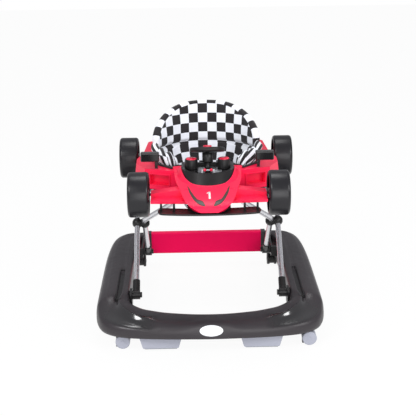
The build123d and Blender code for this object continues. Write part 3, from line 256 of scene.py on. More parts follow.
# %% Group: woven threads
def make_weave_group():
    """Crossing threads: a height for bump, and a slow fold noise that the cloth uses as painted shade in its
    creases and for its roughness.
    """
    tree = bpy.data.node_groups.new("woven_threads", "ShaderNodeTree")
    face = tree.interface
    face.new_socket("Vector", in_out="INPUT", socket_type="NodeSocketVector")
    face.new_socket("Threads", in_out="INPUT", socket_type="NodeSocketFloat")
    face.new_socket("Height", in_out="OUTPUT", socket_type="NodeSocketFloat")
    face.new_socket("Crease", in_out="OUTPUT", socket_type="NodeSocketFloat")
    into = tree.nodes.new("NodeGroupInput")
    out = tree.nodes.new("NodeGroupOutput")
    warp = node(tree, "ShaderNodeTexWave", {"Distortion": 0.6}, bands_direction="X")
    weft = node(tree, "ShaderNodeTexWave", {"Distortion": 0.6}, bands_direction="Y")
    for wave in (warp, weft):
        tree.links.new(into.outputs["Vector"], wave.inputs["Vector"])
        tree.links.new(into.outputs["Threads"], wave.inputs["Scale"])
    both = node(tree, "ShaderNodeMath", operation="MULTIPLY")
    tree.links.new(warp.outputs["Fac"], both.inputs[0])
    tree.links.new(weft.outputs["Fac"], both.inputs[1])
    folds = node(tree, "ShaderNodeTexNoise", {"Scale": 0.9, "Detail": 3.0})
    tree.links.new(into.outputs["Vector"], folds.inputs["Vector"])
    tree.links.new(both.outputs["Value"], out.inputs["Height"])
    tree.links.new(folds.outputs["Fac"], out.inputs["Crease"])
    return tree


weave_group = make_weave_group()
print("group:", weave_group.name)


# %% Cloth materials
def cloth(name, dark, light=None, own_map=True):
    """Woven cloth with a print of squares where light is given.

    own_map reads the piece's UV map, which counts squares. Without it the object coordinates are used."""
    made = bpy.data.materials.new(name)
    made.use_nodes = True
    tree = made.node_tree
    shader = tree.nodes["Principled BSDF"]
    if own_map:
        coords = node(tree, "ShaderNodeUVMap", uv_map="cloth").outputs["UV"]
    else:
        coords = node(tree, "ShaderNodeTexCoord").outputs["Object"]
    weave = node(tree, "ShaderNodeGroup", node_tree=weave_group)
    weave.inputs["Threads"].default_value = 6.0 if own_map else 200.0
    tree.links.new(coords, weave.inputs["Vector"])
    lift = node(tree, "ShaderNodeMapping", {"Location": (0.0, 0.0, 0.5)})
    tree.links.new(coords, lift.inputs["Vector"])
    squares = node(tree, "ShaderNodeTexChecker", {"Scale": 1.0})
    squares.inputs["Color1"].default_value = (*dark, 1)
    squares.inputs["Color2"].default_value = (*(light or dark), 1)
    tree.links.new(lift.outputs["Vector"], squares.inputs["Vector"])
    # Painted shade: where the fold noise is high, the print is multiplied by a bluish grey, as if the creases
    # were in shadow.
    shade = node(tree, "ShaderNodeMix", data_type="RGBA", blend_type="MULTIPLY")
    shade.inputs["B"].default_value = (0.80, 0.80, 0.86, 1)
    tree.links.new(ramp_values(tree, weave.outputs["Crease"], 0.0, 0.35), shade.inputs["Factor"])
    tree.links.new(squares.outputs["Color"], shade.inputs["A"])
    tree.links.new(shade.outputs["Result"], shader.inputs["Base Color"])
    tree.links.new(ramp_values(tree, weave.outputs["Crease"], 0.72, 0.88), shader.inputs["Roughness"])
    bump = node(tree, "ShaderNodeBump", {"Strength": 0.25, "Distance": 0.0004})
    tree.links.new(weave.outputs["Height"], bump.inputs["Height"])
    tree.links.new(bump.outputs["Normal"], shader.inputs["Normal"])
    shader.inputs["Sheen Weight"].default_value = 0.15
    shader.inputs["Specular IOR Level"].default_value = 0.25
    return made


chequer_cloth = cloth("chequer_cloth", (0.020, 0.017, 0.019), (0.84, 0.85, 0.90))
binding_cloth = cloth("binding_cloth", (0.022, 0.021, 0.023), own_map=False)
print("cloths: 2")

# %% [markdown]
# ## Finishes for the CAD pieces
# Most rigid nodes keep their CAD shape. Each one gets the finish of the real piece.

# %% Put finishes on the nodes
finishes = {
    base_black: ["base_shell", "crossbar_sockets"],
    satin_black: [
        "front_leg_hinges", "rear_rails", "front_leg_feet", "front_leg_eyes", "front_leg_hubs",
        "rear_leg_feet", "rear_leg_eyes", "rear_leg_hubs", "rear_sliders", "top_sliders",
        "tray_hinges", "tray_rails", "tray_underpan", "front_wing", "console_cowl", "speaker",
        "battery_box", "battery_door", "steering_column", "steering_wheel", "wheel_axles",
        "knob_left", "knob_right", "caster_wheels_rear_left", "caster_wheels_rear_right",
        "caster_housing_front_left", "caster_housing_front_right", "caster_housing_rear_left",
        "caster_housing_rear_right", "slot_liners",
    ],
    gloss_black: ["mirrors", "dash_panel"],
    wheel_black: [n for n in nodes if n.startswith("toy_wheel")],
    body_red: ["car_body"],
    bar_red: ["rear_crossbar"],
    trim_red: ["horn_button", "bead_left", "bead_right", "knob_cap_left", "knob_cap_right"],
    pad_grey: ["brake_pads", "caster_wheels_front_left", "caster_wheels_front_right"],
    badge_white: ["badge_plate"],
    clear_post: ["bead_wire"],
    grip_rubber: ["brake_strips"],
    tube_silver: ["front_leg_tubes", "rear_leg_tubes"],
    pin_steel: ["pivot_bolts", "base_screws", "battery_cells"],
    grille_silver: ["sound_grille"],
    chequer_cloth: ["seat_back", "seat_sling"],
    binding_cloth: ["seat_piping"],
}
for finish, names in finishes.items():
    for name in names:
        nodes[name].data.materials.clear()
        nodes[name].data.materials.append(finish)
dressed = sum(len(names) for names in finishes.values())
print("dressed", dressed, "of", len(nodes))

# %% [markdown]
# ## Camera, floor and light
# The camera stands where the photographer stood: low, far away, a touch to the left. The floor is
# a wide pale sheet. For the camera it is lifted towards white, and it still takes the soft shadow.

# %% Camera
camera_data = bpy.data.cameras.new("camera")
camera_data.sensor_width = 36.0
photo_width, focal_pixels, side_shift_pixels = 416, 1000, 0.4
camera_data.lens = focal_pixels / photo_width * 36.0
camera = bpy.data.objects.new("camera", camera_data)
bpy.context.scene.collection.objects.link(camera)
look_down, look_side, roll = radians(17.7), radians(1.0), radians(0.75)
ahead = Vector((sin(look_side) * cos(look_down), cos(look_side) * cos(look_down), -sin(look_down)))
camera.location = (-0.0493, -2.831, 1.207)
camera.rotation_mode = "QUATERNION"
camera.rotation_quaternion = Quaternion(ahead, roll) @ ahead.to_track_quat("-Z", "Y")
camera_data.shift_x = side_shift_pixels / photo_width
bpy.context.scene.camera = camera
bpy.context.scene.view_settings.view_transform = "Standard"
print("lens", round(camera_data.lens, 1))


# %% Floor and world
def seen_directly(tree):
    """1 for rays that show the background itself: camera, mirror and clear glass."""
    path = node(tree, "ShaderNodeLightPath")
    first = node(tree, "ShaderNodeMath", operation="MAXIMUM")
    both = node(tree, "ShaderNodeMath", operation="MAXIMUM")
    tree.links.new(path.outputs["Is Camera Ray"], first.inputs[0])
    tree.links.new(path.outputs["Is Glossy Ray"], first.inputs[1])
    tree.links.new(first.outputs["Value"], both.inputs[0])
    tree.links.new(path.outputs["Is Transmission Ray"], both.inputs[1])
    return both.outputs["Value"]


floor_finish = bpy.data.materials.new("floor_finish")
floor_finish.use_nodes = True
tree = floor_finish.node_tree
paper = tree.nodes["Principled BSDF"]
paper.inputs["Base Color"].default_value = (0.86, 0.86, 0.86, 1)
paper.inputs["Roughness"].default_value = 0.9
glow = node(tree, "ShaderNodeEmission", {"Color": (1, 1, 1, 1), "Strength": 1.0})
lift = node(tree, "ShaderNodeMixShader")
share = node(tree, "ShaderNodeMath", {1: 0.94}, operation="MULTIPLY")
tree.links.new(seen_directly(tree), share.inputs[0])
tree.links.new(share.outputs["Value"], lift.inputs["Fac"])
tree.links.new(paper.outputs["BSDF"], lift.inputs[1])
tree.links.new(glow.outputs["Emission"], lift.inputs[2])
tree.links.new(lift.outputs["Shader"], tree.nodes["Material Output"].inputs["Surface"])
bm = bmesh.new()
bmesh.ops.create_grid(bm, x_segments=2, y_segments=2, size=8.0)
floor_mesh = bpy.data.meshes.new("floor")
bm.to_mesh(floor_mesh)
bm.free()
floor_mesh.materials.append(floor_finish)
floor = bpy.data.objects.new("floor", floor_mesh)
floor.location.z = -0.0005
bpy.context.scene.collection.objects.link(floor)

world = bpy.data.worlds.new("studio")
world.use_nodes = True
bpy.context.scene.world = world
tree = world.node_tree
sky = tree.nodes["Background"]
backdrop = node(tree, "ShaderNodeMix", data_type="RGBA")
backdrop.inputs["B"].default_value = (1, 1, 1, 1)
studio = node(tree, "ShaderNodeMix", data_type="RGBA")
studio.inputs["A"].default_value = (0.62, 0.63, 0.65, 1)
studio.inputs["B"].default_value = (0.38, 0.38, 0.40, 1)
path = node(tree, "ShaderNodeLightPath")
tree.links.new(path.outputs["Is Glossy Ray"], studio.inputs["Factor"])
tree.links.new(studio.outputs["Result"], backdrop.inputs["A"])
tree.links.new(path.outputs["Is Camera Ray"], backdrop.inputs["Factor"])
tree.links.new(backdrop.outputs["Result"], sky.inputs["Color"])
print("floor and world ready")


# %% Lamps
def softbox(name, place, aim, size, power):
    """Square area lamp that points at a spot."""
    lamp = bpy.data.lights.new(name, "AREA")
    lamp.size = size
    lamp.energy = power
    stand = bpy.data.objects.new(name, lamp)
    stand.location = place
    stand.rotation_mode = "QUATERNION"
    stand.rotation_quaternion = (Vector(aim) - Vector(place)).to_track_quat("-Z", "Y")
    bpy.context.scene.collection.objects.link(stand)


softbox("key", (-1.6, -2.0, 2.4), (0, 0, 0.3), 1.0, 36)
softbox("fill", (1.9, -1.8, 1.8), (0, 0, 0.3), 1.0, 28)
softbox("front", (0.3, -3.0, 0.9), (0, 0, 0.25), 1.6, 26)
softbox("top", (0, 0.6, 2.8), (0, 0, 0.3), 1.0, 15)
print("lamps: 4")

# %% [markdown]
# ## The base ring
# The ring is one large hollow moulding: a flat top with a slot in each side, a rounded bumper and a
# scooped, polished corner. It could be cut from a solid, but a cage of cross-sections is easier to
# steer. Every station along the ring has the same count of points, so the cage is a plain grid, and
# subdivision turns it into smooth skin. Points that sit close together keep an edge crisp.

# %% Base ring: cross-sections
mm = 0.001
# Each point is the share of the way from the outer to the inner edge, then the height in millimetres.
bumper_mid = (
    (0.04, 42), (0, 50), (0, 62), (0.064, 74), (0.18, 82), (0.31, 86), (0.41, 87.5), (0.54, 88),
    (0.59, 88.2), (0.67, 88.5), (0.74, 88.8), (0.87, 89), (0.97, 87.5), (1, 80), (1, 42),
)
badge_bed = ((0.05, 42), (0.045, 50), (0.08, 62), (0.12, 74)) + bumper_mid[4:]
bumper_side = (
    (0.04, 42), (0, 50), (0, 58), (0.02, 64), (0.04, 68), (0.08, 73), (0.13, 77), (0.2, 81),
    (0.27, 84), (0.36, 86), (0.5, 87.5), (0.75, 88.5), (0.96, 88), (1, 80), (1, 42),
)
bumper_turn = (
    (0.04, 42), (0, 50), (0, 61), (0.03, 69), (0.08, 73), (0.15, 75), (0.22, 77.5), (0.28, 81.5),
    (0.33, 87), (0.365, 92.5), (0.385, 94.5), (0.42, 95), (0.95, 93), (1, 84), (1, 42),
)
scoop = (
    (0.04, 42), (0, 50), (0, 62), (0.04, 75), (0.13, 81), (0.25, 83), (0.37, 86), (0.47, 91),
    (0.53, 98), (0.575, 105.5), (0.59, 107.5), (0.63, 108.5), (0.96, 103), (1, 90), (1, 42),
)


def side_arm(slot_floor):
    """Cross-section of a side, with its slot down to slot_floor."""
    return (
        (0.04, 42), (0, 50), (0, 70), (0.02, 89), (0.10, 103), (0.29, 109.5), (0.33, 112), (0.61, 113),
        (0.62, slot_floor), (0.745, slot_floor), (0.755, 113), (0.88, 111), (0.98, 106), (1, 92), (1, 42),
    )


def between(a, b, share):
    """Cross-section part of the way from a to b."""
    return tuple((p[0] + (q[0] - p[0]) * share, p[1] + (q[1] - p[1]) * share) for p, q in zip(a, b))


slotted, grooved = side_arm(100), side_arm(111.5)
print("points in a cross-section:", len(slotted))

# %% Base ring: stations along the right half
# Outer point, inner point, cross-section and the scoop mask for gloss and painted shade, from the middle of
# the front to the rear end.
ring_half = (
    ((0, -357), (0, -285), badge_bed, 0),
    ((36, -356.5), (33, -283.5), badge_bed, 0),
    ((70, -355), (63, -278.5), between(bumper_mid, bumper_side, 0.6), 0),
    ((120, -353), (110, -268), bumper_side, 0),
    ((148, -351), (134, -261.5), bumper_side, 0),
    ((176, -348.5), (156, -255), between(bumper_side, bumper_turn, 0.6), 0.7),
    ((210, -344), (180, -248), bumper_turn, 1),
    ((242, -338), (196, -242), between(bumper_turn, scoop, 0.35), 1),
    ((270, -327), (210, -235), between(bumper_turn, scoop, 0.75), 1),
    ((304, -300), (222, -222), scoop, 0.8),
    ((319, -255), (229, -205), between(scoop, slotted, 0.35), 0.3),
    ((322, -222), (229, -183), between(scoop, slotted, 0.8), 0),
    ((323, -212), (229, -176), slotted, 0),
    ((323, -85), (229, -85), slotted, 0),
    ((323, 0), (229, -2), slotted, 0),
    ((323, 10), (229, 8), grooved, 0),
    ((323, 85), (229, 60), grooved, 0),
    ((322, 170), (229, 160), grooved, 0),
    ((317, 260), (228, 240), grooved, 0),
    ((308, 318), (226, 290), grooved, 0),
    ((290, 350), (215, 312), grooved, 0),
    ((252, 357), (203, 318), grooved, 0),
    ((197, 357), (197, 318), grooved, 0),
)
ring_left = [((-o[0], o[1]), (-i[0], i[1]), form, shine) for o, i, form, shine in ring_half[1:]]
ring_stations = list(reversed(ring_left)) + list(ring_half)


def ring_point(u, v):
    """Place on the cage: u runs along the ring, v over its cross-section."""
    outer, inner, form, _ = ring_stations[round(u * (len(ring_stations) - 1))]
    share, height = form[round(v * (len(form) - 1))]
    x = outer[0] + (inner[0] - outer[0]) * share
    y = outer[1] + (inner[1] - outer[1]) * share
    return Vector((x, y, height)) * mm


# The scoop mask is 1 in the polished corners. There the ring turns glossy, and its colour is darkened as
# painted shade.
polished_and_shaded_rows = (4, 10)
bm = bmesh.new()
polish_and_shade = bm.verts.layers.float.new("polish_and_shade")
cage = grid(bm, len(ring_stations) - 1, len(slotted) - 1, ring_point)
shine_at = {}
for station in range(len(ring_stations)):
    for row in range(len(slotted)):
        spot = ring_point(station / (len(ring_stations) - 1), row / (len(slotted) - 1))
        in_scoop = polished_and_shaded_rows[0] <= row <= polished_and_shaded_rows[1]
        shine_at[tuple(round(c, 5) for c in spot)] = ring_stations[station][3] * in_scoop
for vert in cage:
    vert[polish_and_shade] = shine_at[tuple(round(c, 5) for c in vert.co)]
base_ring = piece("base_ring", bm, "base", ring_black, ["base_shell"])
skin = base_ring.modifiers.new("skin", "SUBSURF")
skin.levels = skin.render_levels = 3
wall = base_ring.modifiers.new("wall", "SOLIDIFY")
wall.thickness, wall.offset = 3 * mm, -1
print("stations:", len(ring_stations))

# %% [markdown]
# ## Under the ring
# The casters turn in round bosses, and a flat web under the bumper carries the stop blocks. Both
# are plain turned or flat shapes, so a cone operator and a two-row grid are enough.

# %% Bosses and web
boss_foot, web_height = 43, 43.5
boss_tops = ((258, -300, 76), (-258, -300, 76), (219, 335, 96), (-219, 335, 96))
bm = bmesh.new()
for x, y, top in boss_tops:
    place = Matrix.Translation(Vector((x, y, (boss_foot + top) / 2)) * mm)
    tall = (top - boss_foot) * mm
    bmesh.ops.create_cone(
        bm, cap_ends=True, segments=32, radius1=11 * mm, radius2=12 * mm, depth=tall, matrix=place)
rims = [edge for edge in bm.edges if len(edge.link_faces) == 2 and edge.calc_face_angle() > 1]
bmesh.ops.bevel(bm, geom=rims, offset=1.2 * mm, segments=2, profile=0.5, affect="EDGES", material=-1)
front_stations = [st for st in ring_stations if st[0][1] < -330]


def web_point(u, v):
    """Flat web under the bumper, a little inside its lower edges."""
    outer, inner, _, _ = front_stations[round(u * (len(front_stations) - 1))]
    share = 0.06 + 0.91 * v
    x = outer[0] + (inner[0] - outer[0]) * share
    y = outer[1] + (inner[1] - outer[1]) * share
    return Vector((x, y, web_height)) * mm


web = grid(bm, len(front_stations) - 1, 1, web_point)
bmesh.ops.solidify(bm, geom=list({f for v in web for f in v.link_faces}), thickness=2 * mm)
piece("base_bosses", bm, "base", ring_black, ["base_shell"])

# %% [markdown]
# ## The padded seat back
# The back is two sewn panels joined by a strip that runs round the edge. Each panel follows an
# upright arc and leans back a little. The front panel swells between its seams and has a sewn crease
# near its foot. The print is laid on each panel by its own length, so the squares meet the seams as
# cut cloth does, and the edge strip has its own run of squares.

# %% Seat back: the arc it follows
back_foot, back_height, back_lean = 447, 143, 32
arc_radius, arc_mid_y, arc_half = 156.3, 28.7, radians(73.2)
edge_width, panel_height, crease_height = 8, 131, 467
pad_half, face_radius = 11.5, arc_radius - 15
square, square_height, print_shift = 29.4, 28.6, 6


def arch(u):
    """Height of the panel's top edge as a share, at u from -1 to 1 across the arc."""
    across = abs(sin(u * arc_half) / sin(arc_half))
    return 0.35 + 0.65 * sqrt(max(0.0, 1 - across ** 2.8))


def back_spot(u, v):
    """Point in the middle of the pad, and the direction out through its rear."""
    turn = u * arc_half
    rise = v * arch(u) * panel_height / back_height
    out = Vector((sin(turn), cos(turn), 0))
    spot = Vector((0, arc_mid_y + back_lean * rise, back_foot + back_height * rise)) + out * arc_radius
    return spot, out


def swell(u, v):
    """How far a panel stands out past its seams."""
    inward = min((1 - v) * arch(u) * panel_height, (1 - abs(u)) * arc_half * arc_radius)
    return 1.5 * smooth_step(0, 8, inward) + 4.5 * smooth_step(0, 50, inward)


def crease(z):
    """Depth of the sewn crease at a height."""
    return 9 * exp(-((z - crease_height) / 5.5) ** 2)


print("arc length", round(2 * arc_half * arc_radius), "mm")


# %% Seat back: panels and edge strip
def across_back(u):
    """Even steps from 0 to 1 become closer steps towards the two ends, from -1 to 1."""
    return sin((u - 0.5) * pi)


def front_spot(u, v):
    """Point on the front panel, with the crease pressed in."""
    spot, out = back_spot(across_back(u), v)
    depth = pad_half + swell(across_back(u), v) - crease(spot.z)
    return (spot - out * depth) * mm


def rear_spot(u, v):
    """Point on the rear panel, which swells half as much."""
    spot, out = back_spot(across_back(u), v)
    return (spot + out * (pad_half + 0.5 * swell(across_back(u), v))) * mm


def panel_map(u, v):
    """Squares counted along the face of the pad and up from the crease. The lean makes the rise longer."""
    turn = across_back(u) * arc_half
    rise = (back_spot(across_back(u), v)[0].z - crease_height) * 1.025
    return (turn * face_radius - print_shift) / square + 1, rise / square_height


columns, rows = 72, 36
edge_path = [(0, row / rows) for row in range(rows)]
edge_path += [(col / columns, 1) for col in range(columns)]
edge_path += [(1, 1 - row / rows) for row in range(rows + 1)]
edge_spots = [back_spot(across_back(u), v) for u, v in edge_path]
edge_length = [0.0]
for (a, _), (b, _) in zip(edge_spots, edge_spots[1:]):
    edge_length.append(edge_length[-1] + (b - a).length)


def strip_spot(u, v):
    """Point on the edge strip: u along the edge, v over its half-round from front to rear."""
    step = round(u * (len(edge_spots) - 1))
    spot, out = edge_spots[step]
    before = edge_spots[max(step - 1, 0)][0]
    after = edge_spots[min(step + 1, len(edge_spots) - 1)][0]
    away = out.cross(after - before).normalized()
    away = away if away.dot(spot - Vector((0, spot.y, back_foot + 40))) > 0 else -away
    turn = (v - 0.5) * pi
    return (spot + away * edge_width * cos(turn) + out * pad_half * sin(turn)) * mm


def strip_map(u, v):
    """One row of squares along the edge, set so that white stands over black in the middle."""
    return edge_length[round(u * (len(edge_spots) - 1))] / square + 1.02, (v - 0.5) * 1.05 + 0.53


bm = bmesh.new()
grid(bm, columns, rows, front_spot, panel_map)
grid(bm, columns, rows, rear_spot, panel_map)
grid(bm, len(edge_spots) - 1, 8, strip_spot, strip_map)
bmesh.ops.remove_doubles(bm, verts=bm.verts, dist=0.3 * mm)
bmesh.ops.holes_fill(bm, edges=[e for e in bm.edges if e.is_boundary], sides=0)
seat_back = piece("seat_back_pad", bm, "tray", chequer_cloth, ["seat_back"])

# %% [markdown]
# ## The hanging seat bucket
# A cloth bucket hangs from the rim of the opening. It is cut as one wrap and a floor panel, so a grid
# round the opening makes each: the top follows the rim, and further down it narrows to a rounded
# sack. Two leg holes are cut from its front, and their edges are pulled round.

# %% Seat bucket: rim and sack
rim_right = [(88, -54), (103, -78), (147, -28), (147, 62)]
arc_points = []
rear_y, side_y, half_width = 166, 62, 147
bow = ((rear_y - side_y) ** 2 + half_width ** 2) / (2 * (rear_y - side_y))
for step in range(1, 24):
    x = half_width * cos(pi * step / 24)
    arc_points.append((x, rear_y - bow + sqrt(bow ** 2 - x ** 2)))
rim_outline = [(0, -54)] + rim_right + arc_points + [(-x, y) for x, y in reversed(rim_right)]
sack_mid = Vector((0, 52, 0))


def rim_reach(direction):
    """How far the rim is from the middle of the sack in a level direction."""
    best = 0.0
    for (ax, ay), (bx, by) in zip(rim_outline, rim_outline[1:] + rim_outline[:1]):
        ex, ey, wx, wy = bx - ax, by - ay, ax - sack_mid.x, ay - sack_mid.y
        cross = direction.x * ey - direction.y * ex
        if abs(cross) > 1e-9:
            reach = (wx * ey - wy * ex) / cross
            along = (wx * direction.y - wy * direction.x) / cross
            if reach > 0 and -1e-6 <= along <= 1 + 1e-6:
                best = max(best, reach)
    return best


sack_top, sack_waist, sack_floor = 447, 360, 289
# Half width and half depth of the ellipses at the waist and at the foot of the wall.
waist_half, low_half = (116, 86), (66, 52)
rim_gap, rear_lift, rear_reach, floor_rise = 2.5, 17, 4, 6
# Shares of the fall that go to the neck, the wall and the floor.
neck_span, wall_span, floor_span = 0.5, 0.3, 0.2
wall_end = neck_span + wall_span
fold_depth, fold_count = 1.6, 11


def ellipse_reach(direction, half):
    """How far an ellipse reaches in a level direction."""
    return 1 / sqrt((direction.x / half[0]) ** 2 + (direction.y / half[1]) ** 2)


def sack_spot(u, v):
    """u runs round the sack from its front, v from the rim down and in under the floor."""
    turn = 2 * pi * u
    level = Vector((sin(turn), -cos(turn), 0))
    rim = rim_reach(level) - rim_gap
    waist, low = ellipse_reach(level, waist_half), ellipse_reach(level, low_half)
    rear = smooth_step(0.35, 0.8, level.y)
    top = sack_top + rear_lift * rear
    rim += rear_reach * rear
    if v < neck_span:
        share = v / neck_span
        reach = rim + (waist - rim) * smooth_step(-0.25, 1.1, share)
        height = top + (sack_waist - top) * share
    elif v < wall_end:
        share = (v - neck_span) / wall_span
        reach = waist + (low - waist) * share ** 0.9
        height = sack_waist + (sack_floor + floor_rise - sack_waist) * share
    else:
        share = (v - wall_end) / floor_span
        reach = low * (1 - share) ** 0.8
        height = sack_floor + floor_rise * (1 - share) ** 2
    fold = fold_depth * sin(fold_count * turn + 3 * v)
    fold = fold * smooth_step(0.02, 0.25, v) * (1 - smooth_step(0.7, 0.95, v))
    return (sack_mid + level * (reach + fold) + Vector((0, 0, height))) * mm


sack_columns, sack_rows = 120, 60
rim_walk = [0.0]
for step in range(sack_columns):
    here, there = sack_spot(step / sack_columns, 0.1), sack_spot((step + 1) / sack_columns, 0.1)
    rim_walk.append(rim_walk[-1] + (there - here).length / mm)
sack_fall = [0.0]
for step in range(sack_rows):
    here, there = sack_spot(0.5, step / sack_rows), sack_spot(0.5, (step + 1) / sack_rows)
    sack_fall.append(sack_fall[-1] + (there - here).length / mm)
wall_rows = round(wall_end * sack_rows)


def wall_spot(u, v):
    """Point on the wrap, from the rim to the foot of the wall."""
    return sack_spot(u, wall_end * v)


def wall_map(u, v):
    """Squares counted from the middle of the rear and from the crease down."""
    walk = rim_walk[sack_columns // 2] - rim_walk[round(u * sack_columns)]
    return (walk - print_shift) / square + 1, -(sack_fall[round(v * wall_rows)] + 3) / square


def floor_spot(u, v):
    """Point on the floor panel, from its edge to its middle."""
    return sack_spot(u, wall_end + floor_span * v)


def floor_map(u, v):
    """The floor is a panel of its own, so its squares run straight across."""
    spot = floor_spot(u, v) / mm
    return spot.x / square + 0.5, spot.y / square


bm = bmesh.new()
grid(bm, sack_columns, wall_rows, wall_spot, wall_map)
grid(bm, sack_columns, sack_rows - wall_rows, floor_spot, floor_map)
bmesh.ops.remove_doubles(bm, verts=bm.verts, dist=0.3 * mm)
leg_hole_x, leg_hole_z, leg_hole_radius, hole_ceiling = 50, 332, 33, 400


def leg_offset(co):
    """Level and upright distance from the nearer leg hole's middle."""
    side = 1 if co.x > 0 else -1
    return co.x - side * leg_hole_x * mm, co.z - leg_hole_z * mm


holes = []
for face in bm.faces:
    middle = face.calc_center_median()
    dx, dz = leg_offset(middle)
    if middle.y < sack_mid.y * mm and sqrt(dx * dx + dz * dz) < leg_hole_radius * mm:
        holes.append(face)
bmesh.ops.delete(bm, geom=holes, context="FACES")
for vert in bm.verts:
    if vert.is_boundary and vert.co.z < hole_ceiling * mm:
        dx, dz = leg_offset(vert.co)
        scale = leg_hole_radius * mm / max(sqrt(dx * dx + dz * dz), 1e-6)
        vert.co.x += dx * (scale - 1)
        vert.co.z += dz * (scale - 1)
sling = piece("seat_bucket", bm, "tray", chequer_cloth, ["seat_sling"])
cloth_wall = sling.modifiers.new("cloth", "SOLIDIFY")
cloth_wall.thickness = 1.6 * mm

# %% [markdown]
# ## Bunched corners
# At the two front corners of the opening there is more cloth than room, so it bunches into short
# rolls. Each roll is a bent tube with tapered ends. Its print is twisted round it, which gives the
# streaked look of squares seen on folds. Left and right here are those of the photograph.

# %% Bunched rolls
# Start, middle and end of each roll on the right, and its radius.
roll_lines = (
    ((110, -42, 444), (135, -6, 474), (134, 50, 452), 15),
    ((96, -48, 443), (113, -14, 467), (124, 38, 448), 13),
    ((122, -34, 448), (148, 4, 481), (150, 60, 482), 12),
    ((88, -44, 440), (99, -12, 457), (112, 30, 442), 10),
)


def roll_form(line, side, twist):
    """Functions for the place and the print of one roll."""
    start, middle, end = (Vector((side * p[0], p[1], p[2])) for p in line[:3])
    pull = 2 * middle - (start + end) / 2

    def place(u, v):
        """Point on the roll: u round it, v along it."""
        spot = start * (1 - v) ** 2 + pull * 2 * v * (1 - v) + end * v ** 2
        run = ((pull - start) * (1 - v) + (end - pull) * v).normalized()
        level = run.cross(Vector((0, 0, 1))).normalized()
        up = level.cross(run)
        turn = 2 * pi * u
        plump = sqrt(max(0.0, 1 - (2 * v - 1) ** 6)) * (1 + 0.12 * sin(3 * turn + 9 * v + twist))
        return (spot + (level * cos(turn) + up * sin(turn)) * line[3] * plump) * mm

    def print_map(u, v):
        """Print that runs round the roll nine times as fast as along it."""
        return u * 9.0 + 2.2 * v + 0.5 * sin(5 * v + twist), 0.8 * v + twist + 0.25 * sin(2 * pi * u)

    return place, print_map


for name, side in (("left", -1), ("right", 1)):
    bm = bmesh.new()
    for number, line in enumerate(roll_lines):
        grid(bm, 28, 36, *roll_form(line, side, 0.7 * number + 0.4 * side))
    bmesh.ops.remove_doubles(bm, verts=bm.verts, dist=0.05 * mm)
    rolls = piece("seat_folds_" + name, bm, "tray", chequer_cloth, ["seat_sling"])

# %% [markdown]
# ## Bound edge of the opening
# A black tape is folded over the edge of the opening at its front and sides. A bevelled curve gives
# a clean round tape, and it is turned into a mesh so that it exports like the other pieces.

# %% Edge tape
tape_radius, tape_height = 3.2, 449.5
tape = bpy.data.curves.new("tape", "CURVE")
tape.dimensions = "3D"
tape.bevel_depth = tape_radius * mm
tape.bevel_resolution = 3
tape.use_fill_caps = True
line = tape.splines.new("POLY")
tape_points = [(-147, 44), (-147, -28), (-103, -78), (-88, -54), (88, -54), (103, -78), (147, -28), (147, 44)]
line.points.add(len(tape_points) - 1)
for point, (x, y) in zip(line.points, tape_points):
    point.co = (x * mm, y * mm, tape_height * mm, 1)
tape_curve = bpy.data.objects.new("tape", tape)
bpy.context.scene.collection.objects.link(tape_curve)
bm = bmesh.new()
bm.from_mesh(bpy.data.meshes.new_from_object(tape_curve.evaluated_get(bpy.context.evaluated_depsgraph_get())))
bpy.data.objects.remove(tape_curve)
bmesh.ops.remove_doubles(bm, verts=bm.verts, dist=0.05 * mm)
piece("edge_tape", bm, "tray", binding_cloth, ["seat_piping"])

# %% [markdown]
# ## Nose decals
# Two leaf-shaped stickers and a racing number are printed on the nose. Each is a thin patch drawn in
# plan and dropped onto the body, so it follows the curve of the nose.

# %% Leaf stickers and number
sticker_lift, film_depth = 0.4, 0.3
body_tree = BVHTree.FromPolygons(
    [v.co.copy() for v in nodes["car_body"].data.vertices],
    [tuple(p.vertices) for p in nodes["car_body"].data.polygons],
)


def drop(x, y):
    """Point on top of the nose under a plan point, lifted by the sticker's thickness."""
    hit = body_tree.ray_cast(Vector((x * mm, y * mm, 0.6)), Vector((0, 0, -1)))
    return hit[0] + hit[1] * sticker_lift * mm


def along(points, share):
    """Point on a smooth line through the points, by share of their count."""
    at = share * (len(points) - 1)
    k = min(int(at), len(points) - 2)
    t = at - k
    p0, p1, p2, p3 = (Vector(points[min(max(k + d, 0), len(points) - 1)]) for d in (-1, 0, 1, 2))
    square_part = (2 * p0 - 5 * p1 + 4 * p2 - p3) * t * t
    cube_part = (3 * p1 - p0 - 3 * p2 + p3) * t ** 3
    return 0.5 * (2 * p1 + (p2 - p0) * t + square_part + cube_part)


leaf_outer = [(58, -209), (53, -246), (43.5, -280.5), (33, -301), (21, -311), (10.5, -314)]
leaf_inner = [(56, -212.5), (47, -244.5), (34, -281), (25.5, -289), (17.4, -296), (10.5, -314)]
for name, side in (("left", -1), ("right", 1)):
    bm = bmesh.new()

    def leaf_spot(u, v):
        """Point on the leaf: u from its tip forward, v from its outer to its inner edge."""
        flat = along(leaf_outer, u).lerp(along(leaf_inner, u), v)
        return drop(side * flat.x, flat.y)

    grid(bm, 40, 6, leaf_spot)
    bmesh.ops.remove_doubles(bm, verts=bm.verts, dist=0.05 * mm)
    leaf = piece("nose_leaf_" + name, bm, "tray", decal_olive)
    film = leaf.modifiers.new("film", "SOLIDIFY")
    film.thickness = film_depth * mm

